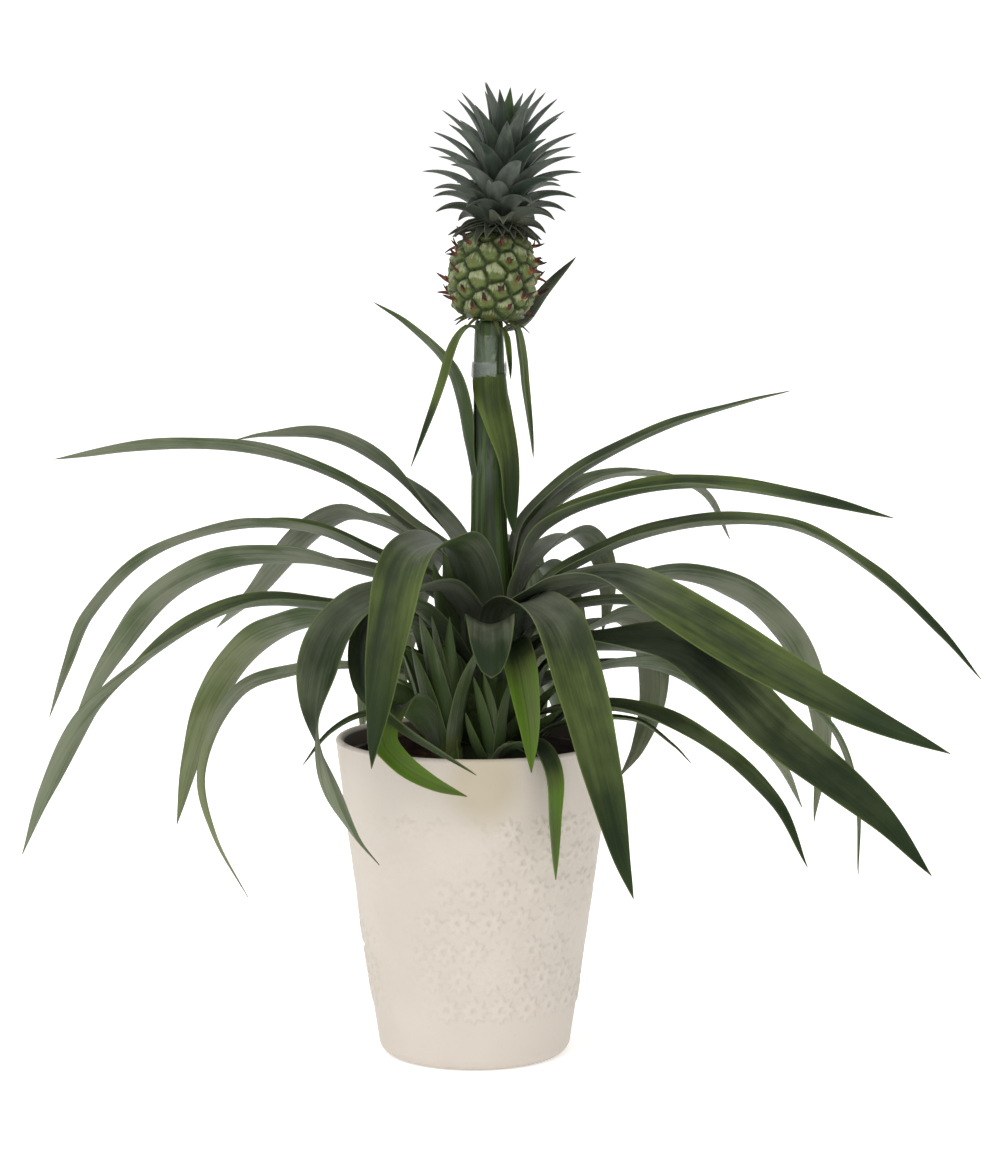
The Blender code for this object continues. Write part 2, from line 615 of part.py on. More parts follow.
def crown_leaf(i, where):
    """One small crown leaf: broad where it clasps the core, then a long fine point."""
    share = i / (CROWN_LEAVES - 1)
    turn = math.radians(GOLDEN_ANGLE * i)
    height = share ** 1.3
    length = CROWN_LEAF_LENGTH + CROWN_LEAF_GAIN * math.sin(1.95 * share ** 0.7)
    length -= CROWN_TOP_LOSS * blend(0.75, 1.0, share)
    width = mix(CROWN_LEAF_WIDTH, share)
    out = Vector((math.cos(turn), math.sin(turn), 0))
    side = Vector((-math.sin(turn), math.cos(turn), 0))
    point = out * (crown_core_radius(height) - 3) + Vector((0, 0, 2 + (CROWN_CORE_HEIGHT - 6) * height))
    last = CROWN_STATIONS - 1
    bm = bmesh.new()
    rings = []
    for k in range(CROWN_STATIONS):
        along = k / last
        slope = crown_way(share, along)
        way = out * math.cos(slope) + Vector((0, 0, math.sin(slope)))
        up = way.cross(side)
        half = max(width * (1 - along) ** 1.05 * (1 + 0.5 * along), 0.9) / 2
        thick = 1.2 - 0.5 * along
        rings.append([bm.verts.new((point + side * half + up * half * CROWN_CHANNEL) * MM),
                      bm.verts.new((point + up * thick / 2) * MM),
                      bm.verts.new((point - side * half + up * half * CROWN_CHANNEL) * MM),
                      bm.verts.new((point - up * thick / 2) * MM)])
        slope = crown_way(share, along + 0.5 / last)
        point = point + (out * math.cos(slope) + Vector((0, 0, math.sin(slope)))) * (length / last)
    for a, b in zip(rings, rings[1:]):
        for k in range(4):
            n = (k + 1) % 4
            bm.faces.new((a[k], a[n], b[n], b[k]))
    bm.faces.new(rings[0][::-1])
    bm.faces.new(rings[-1])
    bmesh.ops.triangulate(bm, faces=bm.faces)
    bmesh.ops.recalc_face_normals(bm, faces=bm.faces)
    return mesh_object("crown_leaf_%02d" % i, bm, where)


def make_crown(where, parent):
    profile = [(0, CROWN_CORE_HEIGHT)]
    profile += [(crown_core_radius(share), CROWN_CORE_HEIGHT * share) for share in (1.0, 0.5, 0.1)]
    profile += [(CROWN_CORE_RADIUS - 1.5, 0), (0, 0)]
    core = turned("crown", profile, 12, where)
    apply_modifiers(core)
    pieces = [core] + [crown_leaf(i, where) for i in range(CROWN_LEAVES)]
    crown = fuse("crown", pieces, where)
    crown.parent = parent
    crown.location.z = (FRUIT_HEIGHT + CROWN_SEAT) * MM
    crown.rotation_euler.y = math.radians(CROWN_LEAN - FRUIT_LEAN)
    paint(crown, CROWN_GREEN, 0.5)


def make_shoot(name, foot, radius, leaves, where):
    """A young side shoot: a stub in the soil with its narrow leaves fused to it."""
    x, y = foot
    bm = bmesh.new()
    bmesh.ops.create_cone(bm, cap_ends=True, segments=12, radius1=radius * MM, radius2=radius * 0.8 * MM,
                          depth=SHOOT_STUB * MM)
    bm.transform(Matrix.Translation(Vector((x, y, SHOOT_FOOT + SHOOT_STUB / 2)) * MM))
    pieces = [mesh_object(name, bm, where)]
    for i, (width, route) in enumerate(leaves):
        points = [Vector(p) for p in route]
        heading = points[-1] - points[0]
        heading.z = 0
        heading.normalize()
        side = Vector((-heading.y, heading.x, 0))
        blade = mesh_object("%s_leaf_%d" % (name, i + 1),
                            blade_mesh(points, side, width, (0, 0), SHOOT_SPACING, SHOOT_ROOT), where)
        thicken(blade, BLADE_THICKNESS)
        apply_modifiers(blade)
        pieces.append(blade)
    shoot = fuse(name, pieces, where)
    paint(shoot, BRIGHT_GREEN, 0.5)


def main():
    clear_scene()
    plant = collection("potted_pineapple")
    cutters = collection("cutters")
    fruit_axis = bpy.data.objects.new("fruit_axis", None)
    fruit_axis.location = (STEM_X * MM, 0, FRUIT_SEAT * MM)
    fruit_axis.rotation_euler.y = math.radians(FRUIT_LEAN)
    plant.objects.link(fruit_axis)
    make_pot(plant)
    make_nursery_pot(plant, cutters)
    make_soil(plant, cutters)
    make_stem(plant)
    make_sleeve(plant)
    make_fruit(plant, fruit_axis)
    make_crown(plant, fruit_axis)
    for row in LEAVES + STALK_LEAVES:
        leaf(*row, plant)
    for row in SHOOTS:
        make_shoot(*row, plant)


main()
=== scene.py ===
"""Looks of the potted pineapple plant: fine leaves, fruit, crown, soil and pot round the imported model.

Lengths are millimetres and angles are degrees, as in the part's own source, whose driving sizes and
leaf tables are repeated here; meshes are made in metres. An azimuth turns from +X towards +Y, so 270
faces the front.
"""
import math
import random

import bpy
import numpy as np
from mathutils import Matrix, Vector, noise
from mathutils.geometry import interpolate_bezier


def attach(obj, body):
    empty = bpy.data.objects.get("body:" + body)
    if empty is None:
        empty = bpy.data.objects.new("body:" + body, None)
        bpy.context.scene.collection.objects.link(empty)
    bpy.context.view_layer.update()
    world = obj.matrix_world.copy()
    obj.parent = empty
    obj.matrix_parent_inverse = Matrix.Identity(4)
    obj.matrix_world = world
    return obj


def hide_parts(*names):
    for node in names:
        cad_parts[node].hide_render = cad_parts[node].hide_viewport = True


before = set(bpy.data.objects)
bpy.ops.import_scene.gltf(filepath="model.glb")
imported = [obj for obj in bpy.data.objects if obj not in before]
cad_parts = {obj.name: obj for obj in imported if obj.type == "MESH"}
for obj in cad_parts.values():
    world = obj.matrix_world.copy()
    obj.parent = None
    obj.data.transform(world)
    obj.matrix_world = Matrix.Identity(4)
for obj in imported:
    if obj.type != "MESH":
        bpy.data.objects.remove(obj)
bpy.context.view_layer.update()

MM = 0.001

# Studio and camera
FLOOR_GLOW = 0.34
WORLD_TURN = -0.3
WORLD_FRONT = 0.42
WORLD_BACK = 1.1
WORLD_TOP = 0.5
KEY_SIDE = (-0.35, -0.8, 0.85)
KEY_STRENGTH = 1.3
KEY_SPREAD = 50
CAMERA_PLACE = (0.0132, -1.8, 0.47)
CAMERA_DOWN = 7.155
CAMERA_LENS = 108.96

# Ceramic pot
POT_HEIGHT = 165
POT_RIM_RADIUS = 71.6
POT_BULGE = 0.8
POT_WALL = 4.3
POT_LIP_ROUND = 2
POT_FLOOR = 7
POT_FLOOR_ROUND = 6
POT_FOOT_ROUND = 7
POT_FOOT_RADIUS = 49.8
POT_STEPS = 480
# How far below the lip the inner wall's straight run ends; the painted shade inside stops at half this
# depth
INNER_SHADE_BELOW = 0.8

# Flower relief: eight petals round a point, in staggered rows, worn away in patches
MOTIFS_ROUND = 24
MOTIF_ROWS = 7
MOTIF_ROW_HEIGHT = 15.6
MOTIF_LOW = 33
PETALS = 8
PETAL_START = 1.3
PETAL_END = 7.6
PETAL_HALF_WIDTH = 1.75
RELIEF_HEIGHT = 1
RELIEF_SPACING = 0.9
CRISP_AZIMUTH = 296
CRISP_SPREAD = 30
# Where the painted olive shadow and reflection of the leaves below the rim is centred
LEAF_SHADOW_SPOT = (0.006, -0.068, 0.122)

# Nursery pot and soil
NURSERY_RIM_LOW = 151
NURSERY_RIM_HIGH = 157
NURSERY_BASE = 40
NURSERY_BASE_RADIUS = 45
NURSERY_WALL = 1
NURSERY_STEP_IN = 2.4
NURSERY_STEPS = 120
DRAIN_RADIUS = 4
DRAIN_CIRCLE = 30
DRAIN_COUNT = 5
DRAIN_STEPS = 32
DRAIN_CUT = 3
GAP = 0.3
SOIL_TOP = 147
SOIL_CROWN = 2
SOIL_LUMPS = ((1.6, 0.09), (1.1, 0.28), (0.7, 0.7), (0.35, 1.6))
SOIL_STEPS = 220
SOIL_RINGS = 80

# Stem and fruit stalk: height and radius, from the top down
STEM_X = 7.5
STEM_PROFILE = ((379, 7.2), (340, 7.9), (275, 9.5), (262, 10.2), (235, 13.5), (205, 15.5), (150, 16.5),
                (118, 16.5))
STEM_STEPS = 72
STEM_SPACING = 1.6
STEM_ROUND = 0.8
STEM_RIBS = (0.12, 0.05)
STEM_SWELLING = 0.2
STEM_GRAIN = 9

# Clear rolled sleeve
SLEEVE_LOW = 350
SLEEVE_HIGH = 373
SLEEVE_INNER = 8.5
SLEEVE_SLIT = 50
SLEEVE_SLIT_AZIMUTH = 320
SLEEVE_THICKNESS = 0.4
SLEEVE_GRID = (20, 64)

# Fruit
FRUIT_LEAN = 5.5
FRUIT_SEAT = 379.7
FRUIT_HEIGHT = 44
FRUIT_RADIUS = 21
FRUIT_END_SHARE = 0.34
FRUIT_FULLNESS = 0.5
FRUIT_EYES = 64
FRUIT_EYE_RISE = 2.4
EYE_RISE = 1.5
EYE_SEAM_REACH = 3.2
EYE_REACH = 5.2
EYE_DOME = 0.6
EYE_DRIFT = 1.5
EYE_LUMPS = 0.7
HOOD_RISE = 0.9
FRUIT_STEPS = 240
FRUIT_RINGS = 130
GOLDEN_ANGLE = 137.508
BRACT_LENGTH = (6.5, 9.5)
BRACT_WIDTH = 3.2
BRACT_TILT = (70, 100)
BRACT_SPIN = 0.2
BRACT_TWIST = 2.4
BRACT_SINK = 2.2
BRACT_ZONE = (0.06, 0.93)
BRACT_SHARE = 0.72
BASE_BRACTS = 11
BASE_BRACT_LENGTH = (7, 14)
BASE_BRACT_WIDTH = 2.6
BASE_BRACT_FOOT = 9
REMAINS_LENGTH = (3, 5.5)
REMAINS_TILT = (35, 115)
REMAINS_WIDTH = 1.8

# Crown; pairs are for the lowest and the top leaves
CROWN_LEAN = 5
CROWN_SEAT = 0.8
CROWN_LEAVES = 66
CROWN_LEAF_WIDTH = (16.5, 15)
CROWN_LEAF_LENGTH = 18
CROWN_LEAF_GAIN = 33.5
CROWN_TOP_LOSS = 7.5
CROWN_FOOT_SLOPE = (30, 86)
CROWN_TIP_SLOPE = (-44, 76)
CROWN_CHANNEL = 0.7
CROWN_CORE_HEIGHT = 38.5
CROWN_CORE_RADIUS = 11
CROWN_CORE_TAPER = 0.72
CROWN_CORE_SINK = 2.5
CROWN_CORE_STEPS = 36
CROWN_STATIONS = 18
CROWN_ACROSS = 7
CROWN_SPARSE = 0.78
CROWN_HEART_LOSS = 0.25
CROWN_HEART = ((275, 41), (80, 39))
CROWN_HEART_WIDTH = 17
CROWN_HEART_SLOPE = (84, 89)
SKIRT_LEAVES = 26
SKIRT_LENGTH = (10, 18)
SKIRT_WIDTH = (7, 12)

# Blades
SEAT_CLEARANCE = 0.8
KEEL = 0.7
KEEL_SHARE = 0.5
ROUTE_STEPS = 24
STATION_SPACING = 3.5
ACROSS = 9
MIDRIB_THICKNESS = 1.5
MARGIN_THICKNESS = 0.45
MIDRIB_LOSS = 0.8
FOLD = (10, 18)
FOLD_LOSS = 0.55
TIP_WIDTH = 0.3
WAVE_PITCH = (34, 62)
WAVE_SHARE = 0.028
POINT_POWER = 3.1
LOOK_SPREAD = 0.08
LOOK_CHANGE = 0.28
SHEATH_DEPTH = 16
SHEATH_FOOT = 149.5
SHEATH_FLARE = 2
SHEATH_FREE = 30
SHEATH_SHARE = 0.9
LEAF_ROOT = 0.42

# Old leaves round the foot of the stem; those on its left are (azimuth, top, reach)
OLD_LEAVES = 27
OLD_LEAF_TOP = (178, 222)
OLD_LEAF_REACH = (27, 48)
OLD_LEAF_WIDTH = (20, 27)
OLD_LEAF_FREE = (12, 40)
OLD_LEAF_RISE = 14
OLD_FRONT_REACH = 30
OLD_LEFT_WIDTH = 26
OLD_LEFT_LEAVES = ((164, 214, 58), (190, 208, 60), (200, 216, 50), (212, 200, 56), (226, 220, 40),
                   (236, 198, 38), (150, 202, 60), (138, 226, 56), (128, 214, 60), (134, 192, 54))
# Old leaves that fan out to the left of the stem, facing forward: width, then points (x, y, height)
FANNED_LEAVES = (
    (20, (-12, -8, 160), (-20, -13, 172), (-34, -17, 186), (-50, -20, 198)),
    (19, (-10, -8, 164), (-18, -12, 182), (-30, -15, 202), (-44, -17, 220)),
    (19, (-9, -6, 166), (-14, -9, 190), (-23, -12, 214), (-34, -14, 238)),
    (17, (-8, -4, 170), (-10, -5, 196), (-14, -6, 226), (-21, -7, 256)),
    (17, (-7, -2, 176), (-8, -2, 206), (-11, -3, 238), (-15, -4, 268)),
)
FANNED_SIDE = (0.7, -0.25, 0.7)

# Young side shoots, and the curled tip of a small leaf in front of the right one
SHOOT_FOOT = 128
SHOOT_STUB = 40
SHOOT_STEPS = 32
SHOOT_TRAILING_WIDTH = 15
SHOOT_FULLNESS = 1.55
SHOOT_ROOT = 0.75
CURLED_TIP_WIDTH = 9
CURLED_TIP = ((9, -49, 156), (13, -54, 167), (19, -57, 171), (26, -58, 166))

# Looks of a leaf: how fresh its green is, how dusty its bloom, which is partly a painted sheen, and
# how pale its underside, then the share of its length past which it changes, and what it gains there
# in freshness and in bloom
DEEP = (0.12, 0.3, 0.45, 0.6, 0, 0.1)
MILD = (0.3, 0.3, 0.45, 0.6, 0, 0.1)
CURTAIN = (0.1, 1.4, 0.6, 0.5, 0, 0.3)
SHADED = (-0.25, 0.25, 0.3, 0.3, 0.35, 0.15)
DUSTY = (0.1, 0.9, 0.75, 0.5, 0, 0)
ASHEN = (0.15, 0.6, 0.75, 0.5, 0.12, 0.1)
MOSSY = (0.15, 0.5, 0.55, 0.3, 0.27, 0.1)
PALE = (0.15, 0.6, 1.7, 0.5, 0, 0)
PALE_TIP = (0.2, 1.6, 1.2, 0.5, 0, 0.4)
GREYING = (0.1, 0.05, 0.8, 0.42, 0.1, 1)
TWISTED = (-0.05, 0.6, 1.2, 0.55, 0.1, 0.5)
FRESH = (0.35, 0.05, 0.4, 0.5, -0.45, 0)
BROAD = (-0.1, 1, 0.4, 0.15, 0.35, -0.85)
BENT = (-0.3, 0.7, 0.4, 0.25, 0.52, -0.6)
VIVID = (-0.3, 0, 0.3, 0.3, 1.2, 0)
TIPPED = (-0.15, 0.1, 0.3, 0.6, 0.6, 0.2)
OLIVE = (0.15, 0.2, 1.2, 0.4, 0.35, 0.6)
YOUNG = (0.65, 0.1, 0.1, 0.05, -0.4, 0.4)
# The inner shoot's look and the old leaves' look are darkened as painted shade of the plant's heart
INNER = (-0.1, 0.2, -0.25, 0.2, 0.1, 0.1)
OLD_SHADED = (-0.45, 0.2, -0.25, 0.5, 0, 0)
STALKY = (0.4, 0, 0.5, 0.4, -0.25, 0)

# Leaves whose outline differs from the usual: share of the width, share that is left of it in the
# outer half, and the bluntness of the tip as a power
OUTLINES = {
    "leaf_left_08": (0.75, 0.6, 0.95),
    "leaf_left_09": (1, 0.55, 0.95),
    "leaf_front_03": (1, 1, 0.5),
    "stalk_leaf_01": (1.25, 0.9, 0.95),
    "stalk_leaf_02": (1.25, 1, 0.95),
    "stalk_leaf_03": (2.1, 0.9, 0.8),
}
USUAL_OUTLINE = (1, 1, 0.95)

# Each group of leaves: name, seed of the first, and leaves, each with its azimuth, seat height on the
# stem, width, roll at the middle and the tip, look, and route of points (out from the stem, height)
LEAVES = (
    ("leaf_left", 100, (
        (168, 250, 22, (20, 40), ASHEN, (39, 272), (76, 297), (124, 311), (177, 312), (233, 304)),
        (150, 257, 22, (38, 15), DUSTY, (32, 280), (62, 303), (96, 316), (137, 315), (155, 312)),
        (140, 244, 26, (20, 22), PALE, (38, 260), (68, 271), (101, 273), (132, 257), (166, 226),
         (196, 204)),
        (174, 238, 22, (7, 38), GREYING, (53, 256), (90, 272), (132, 273), (177, 257), (209, 225),
         (221, 198), (231, 171)),
        (153, 228, 27, (30, 45), ASHEN, (40, 240), (73, 248), (112, 252), (160, 246), (200, 225),
         (231, 190), (258, 149)),
        (200, 214, 23, (-5, 125), GREYING, (45, 228), (90, 238), (131, 240), (167, 225), (209, 190),
         (233, 150), (245, 120)),
        (147, 205, 28, (28, 40), MOSSY, (40, 215), (75, 221), (110, 218), (149, 203), (178, 172),
         (194, 135), (205, 97)),
        (192, 188, 15, (60, 150), OLIVE, (40, 199), (69, 204), (101, 202), (130, 192), (149, 153),
         (143, 119), (126, 86)),
        (226, 230, 29, (-15, 200), TWISTED, (36, 246), (76, 246), (108, 232), (123, 199), (118, 166),
         (97, 128), (79, 109)),
        (242, 243, 34, (0, 0), BENT, (32, 268), (61, 272), (85, 265), (103, 229), (117, 183), (121, 167)),
        (222, 205, 20, (0, 0), TIPPED, (45, 234), (68, 241), (90, 227), (98, 203), (89, 187), (62, 160)),
        (203, 166, 10, (0, 0), DEEP, (40, 179), (68, 181), (87, 173), (102, 157)),
    )),
    ("leaf_right", 112, (
        (12, 257, 19, (3, 0), DEEP, (19, 276), (39, 296), (66, 312), (100, 326), (137, 336), (160, 341)),
        (35, 253, 20, (0, 0), PALE, (39, 282), (73, 296), (112, 294), (141, 282), (158, 257)),
        (355, 245, 25, (8, 30), MILD, (29, 275), (68, 292), (109, 297), (155, 291), (206, 280)),
        (56, 237, 22, (-18, -18), DUSTY, (38, 253), (67, 262), (88, 262), (108, 247), (114, 226),
         (109, 206)),
        (40, 198, 26, (-25, -28), DUSTY, (35, 208), (65, 216), (93, 219), (110, 206), (114, 175),
         (104, 148), (91, 133)),
        (8, 226, 21, (8, 45), MILD, (31, 244), (68, 265), (115, 275), (162, 271), (204, 246), (239, 214),
         (261, 189)),
        (30, 218, 26, (-28, -32), DUSTY, (40, 233), (75, 242), (118, 242), (160, 227), (191, 199),
         (209, 153), (205, 100)),
        (335, 232, 31, (48, 52), BROAD, (27, 241), (63, 252), (96, 240), (154, 211), (207, 188),
         (248, 174)),
        (345, 200, 36, (48, 58), SHADED, (30, 210), (73, 217), (106, 211), (152, 172), (203, 133),
         (230, 104)),
        (20, 184, 22, (-22, -25), DUSTY, (35, 193), (77, 200), (109, 191), (142, 166), (165, 140),
         (178, 116)),
        (345, 172, 18, (20, 35), DEEP, (35, 180), (72, 183), (110, 170), (149, 139), (167, 105)),
        (350, 158, 9, (0, 0), FRESH, (35, 172), (75, 176), (96, 163), (105, 154)),
        (10, 212, 18, (0, 0), DEEP, (35, 229), (80, 233), (130, 208), (180, 168), (196, 130), (198, 85)),
    )),
    ("leaf_front", 125, (
        (303, 224, 35, (0, 0), BROAD, (22, 235), (42, 238), (64, 229), (83, 197), (102, 158), (119, 121),
         (130, 103)),
        (285, 200, 21, (0, 0), VIVID, (24, 214), (40, 220), (57, 212), (69, 197), (78, 181), (82, 160)),
        (271, 210, 28, (0, 0), CURTAIN, (24, 224), (40, 231), (60, 227), (84, 208)),
    )),
    ("leaf_back", 128, (
        (66, 226, 22, (0, 0), DEEP, (35, 243), (70, 247), (100, 227), (118, 190), (126, 150)),
        (80, 243, 22, (0, 0), DEEP, (30, 258), (66, 264), (106, 250), (142, 212), (166, 168), (176, 134)),
        (96, 214, 24, (0, 0), DUSTY, (35, 232), (84, 243), (134, 230), (176, 190), (196, 146), (200, 116)),
        (112, 236, 22, (0, 0), DEEP, (32, 251), (66, 254), (98, 234), (122, 196), (132, 158)),
        (126, 218, 22, (0, 0), FRESH, (35, 232), (66, 235), (96, 214), (114, 176), (118, 146)),
        (84, 190, 22, (0, 0), DEEP, (35, 201), (80, 208), (124, 190), (152, 150), (162, 112)),
        (106, 178, 20, (0, 0), FRESH, (35, 188), (78, 194), (118, 178), (146, 140), (156, 104)),
        (68, 168, 16, (0, 0), DEEP, (35, 178), (75, 183), (102, 166), (118, 134), (122, 112)),
    )),
    ("stalk_leaf", 200, (
        (196, 292, 17, (0, 12), SHADED, (11.2, 316), (14, 338), (22, 358), (43, 378), (60, 389)),
        (224, 375, 6, (0, 0), FRESH, (14, 377), (23, 370), (32, 350), (43, 328), (54, 308)),
        (345, 375, 6, (0, 0), MILD, (13.5, 377), (17.6, 361), (19, 346), (22.5, 320), (23.5, 310)),
        (38, 374, 14, (0, 0), CURTAIN, (13, 374), (23, 378), (36, 392), (57, 410)),
        (310, 352, 19, (-14, 10), STALKY, (9.6, 342), (13, 330), (15.5, 312), (16.5, 290), (20, 271)),
        (318, 376, 5, (0, 0), FRESH, (11.5, 373), (14, 360), (15, 350)),
    )),
)

# How far the tip of a leaf sways sideways
SWAYS = {"leaf_left_11": 60}

# Stalk leaves that wrap the stalk: share of the width at the foot, distances along the leaf to
# which it is held and from which it is free, how far it is swung round at its foot, and how deep
# its foot is sunk
STALK_CLASPS = {"stalk_leaf_01": (1, 12, 50, -34, 2.2), "stalk_leaf_05": (1.5, 14, 62, -18, -0.5)}

# Each shoot: name, foot on the soil, radius of its stub, look, and leaves as a width and a route of
# points (x, y, height)
SHOOTS = (
    ("shoot_left", (-12, -38), 8, YOUNG, (
        (12, (-13, -39, 158), (-17, -43, 188), (-22, -48, 214), (-27, -52, 235)),
        (10, (-12, -37, 158), (-15, -39, 190), (-18, -41, 214), (-21, -43, 233)),
        (12, (-15, -39, 158), (-21, -42, 180), (-26, -45, 200), (-31, -49, 219)),
        (12, (-9, -39, 158), (-8, -43, 180), (-3, -46, 202), (7, -46, 225)),
        (7, (-11, -39, 158), (-11, -42, 190), (-12, -44, 215), (-12, -46, 233)),
        (10, (-15, -36, 158), (-24, -34, 178), (-30, -33, 198), (-37, -32, 217)),
        (19, (-14, -40, 160), (-25, -50, 184), (-38, -62, 192), (-45, -76, 178), (-36, -84, 166),
         (-20, -86, 156), (-3, -84, 149)),
    )),
    ("shoot_right", (10, -46), 6.5, INNER, (
        (9, (9, -47, 156), (6, -49, 174), (3, -51, 190), (0, -53, 204)),
        (7, (10, -46, 156), (9, -50, 178), (7, -52, 194), (5, -53, 206)),
        (9, (12, -47, 156), (14, -49, 174), (16, -50, 190), (20, -50, 206)),
        (7, (7, -47, 156), (2, -50, 166), (-2, -52, 177), (-4, -54, 186)),
        (17, (12, -48, 158), (19, -54, 168), (31, -63, 171), (39, -70, 158), (40, -70, 134),
         (41, -69, 104)),
    )),
)


def blend(low, high, value):
    """Smooth step from 0 at low to 1 at high."""
    t = np.clip((value - low) / (high - low), 0, 1)
    return t * t * (3 - 2 * t)


def mix(pair, share):
    return pair[0] + (pair[1] - pair[0]) * share


def unit(vectors):
    return vectors / np.maximum(np.linalg.norm(vectors, axis=-1, keepdims=True), 1e-9)


def stack(*parts):
    """Arrays whose shapes match, as the parts of one array of vectors."""
    return np.stack(np.broadcast_arrays(*parts), axis=-1)


def compass(turn):
    """Unit vectors outwards and sideways at an azimuth in radians."""
    east, north = math.cos(turn), math.sin(turn)
    return np.array((east, north, 0.0)), np.array((-north, east, 0.0))


def rgb(*shown):
    """A colour as it looks on screen, from 0 to 255, in the linear values that shaders take."""
    shares = (value / 255 for value in shown)
    return (*(s / 12.92 if s <= 0.04045 else ((s + 0.055) / 1.055) ** 2.4 for s in shares), 1.0)


class Nodes:
    """Shader nodes of one material or world."""

    def __init__(self, owner):
        owner.use_nodes = True
        self.tree = owner.node_tree

    def feed(self, node, feeds):
        """Sets inputs to plain values, or links them to outputs of other nodes."""
        for socket, source in feeds.items():
            if isinstance(source, bpy.types.NodeSocket):
                self.tree.links.new(source, node.inputs[socket])
            else:
                node.inputs[socket].default_value = source

    def node(self, kind, feeds, output=0, **settings):
        """One output of a new node."""
        made = self.tree.nodes.new("ShaderNode" + kind)
        for key, value in settings.items():
            setattr(made, key, value)
        self.feed(made, feeds)
        return made.outputs[output]

    def split(self, vector):
        return self.node("SeparateXYZ", {0: vector}).node.outputs

    def math(self, operation, *values):
        return self.node("Math", dict(enumerate(values)), operation=operation)

    def sum(self, *values):
        total = values[0]
        for value in values[1:]:
            total = self.math("ADD", total, value)
        return total


class Finish(Nodes):
    """A Principled material whose colour is laid on coat by coat. Colours are given as they look on
    screen, and an underscore in the name of a shader's input stands for a space."""

    def __init__(self, name, specular, **plain):
        self.material = bpy.data.materials.new(name)
        super().__init__(self.material)
        self.use(Emission_Color=(1, 1, 1, 1), Specular_IOR_Level=specular, **plain)

    def use(self, **feeds):
        feeds = {name.replace("_", " "): source for name, source in feeds.items()}
        self.feed(self.tree.nodes["Principled BSDF"], feeds)
        return self.material

    def done(self, roughness, relief):
        return self.use(Base_Color=self.colour, Roughness=roughness, Normal=relief)

    def field(self, name, output="Vector"):
        return self.node("Attribute", {}, output, attribute_name=name)

    def parts(self, name):
        """The three numbers of a field."""
        return self.split(self.field(name))

    def place(self):
        """Object coordinates, in metres, which are the row frame's."""
        return self.node("TexCoord", {}, "Object")

    def stretch(self, vector, *shares):
        return self.node("VectorMath", {0: vector, 1: shares}, operation="MULTIPLY")

    def height(self):
        return self.split(self.place())[2]

    def noise(self, scale, detail=2, vector=None):
        feeds = {"Vector": vector or self.place(), "Scale": scale, "Detail": detail}
        return self.node("TexNoise", feeds)

    def streaks(self, vector, x, y, z=1, detail=2):
        """Noise with a scale of its own along each way."""
        return self.noise(1, detail, self.stretch(vector, x, y, z))

    def step(self, value, low, high, start=0, end=1):
        feeds = {"Value": value, "From Min": low, "From Max": high, "To Min": start, "To Max": end}
        return self.node("MapRange", feeds, interpolation_type="SMOOTHSTEP")

    def times(self, a, b):
        return self.math("MULTIPLY", a, b)

    def spread(self, value, amount):
        """A noise value turned into an offset that runs evenly to both sides of zero."""
        return self.math("MULTIPLY_ADD", value, amount * 2, -amount)

    def base(self, share, low, high):
        """The first colour, between two others."""
        self.colour = rgb(*low)
        self.coat(share, *high)

    def coat(self, share, *shown):
        """A share of another colour over the colour so far."""
        self.colour = self.node("Mix", {0: share, 6: self.colour, 7: rgb(*shown)}, 2, data_type="RGBA")

    def shade(self, value, amount):
        """Makes the colour darker and lighter by a noise value."""
        factor = self.sum(self.spread(value, amount), 1)
        self.colour = self.node("VectorMath", {0: self.colour, 3: factor}, operation="SCALE")

    def bump(self, height, distance, strength, **under):
        return self.node("Bump", {"Height": height, "Distance": distance, "Strength": strength, **under})


def upper_finish():
    """Upper face of a leaf: streaked dark green, with brighter edges, a dusty foot whose bloom is
    partly a painted sheen, and an end dulled by painted shade.
    """
    f = Finish("leaf_upper", 0.13)
    grain = f.field("grain")
    edge, along, bloom = f.parts("place")
    tint, _, luck = f.parts("tone")
    streaks = f.streaks(grain, 0.4, 0.012)
    veins = f.streaks(grain, 2.4, 0.018)
    patches = f.streaks(grain, 0.05, 0.028, detail=4)
    green = f.sum(tint, f.spread(streaks, 0.28), f.spread(patches, 0.7), f.spread(luck, 0.06),
                  f.step(edge, 0.5, 0.95, 0, 0.2))
    f.base(f.step(green, -0.5, 0), (24, 34, 20), (42, 52, 28))
    f.coat(f.step(green, 0, 0.65), 78, 92, 42)
    f.coat(f.step(green, 0.55, 1.2), 82, 112, 30)
    # Dusty bloom, strongest at the foot: partly the leaf's own bloom, partly a painted blue-grey sheen
    bloom_and_sheen = f.sum(f.step(along, 0, 0.5, 0.8, 0.3), f.spread(patches, 0.8), f.spread(streaks, 0.3))
    bloom_and_sheen = f.times(bloom, f.step(bloom_and_sheen, 0, 1))
    f.coat(bloom_and_sheen, 100, 104, 90)
    # Painted shade: the outer part of the blade darker, less so on the freshest leaves
    f.coat(f.times(f.step(along, 0.55, 0.88, 0, 0.8), f.step(tint, 0.5, 0.85, 1, 0.15)), 24, 40, 16)
    f.shade(veins, 0.3)
    f.coat(f.step(edge, 0, 0.12, 0.3, 0), 42, 54, 32)
    f.coat(f.step(edge, 0.93, 0.99, 0, 0.32), 112, 128, 68)
    f.coat(f.step(along, 0.98, 0.997), 88, 74, 54)
    roughness = f.sum(f.step(veins, 0.2, 0.8, 0.38, 0.5), f.times(bloom_and_sheen, 0.12))
    return f.done(roughness, f.bump(streaks, 0.0014, 0.3, Normal=f.bump(veins, 0.0003, 0.4)))


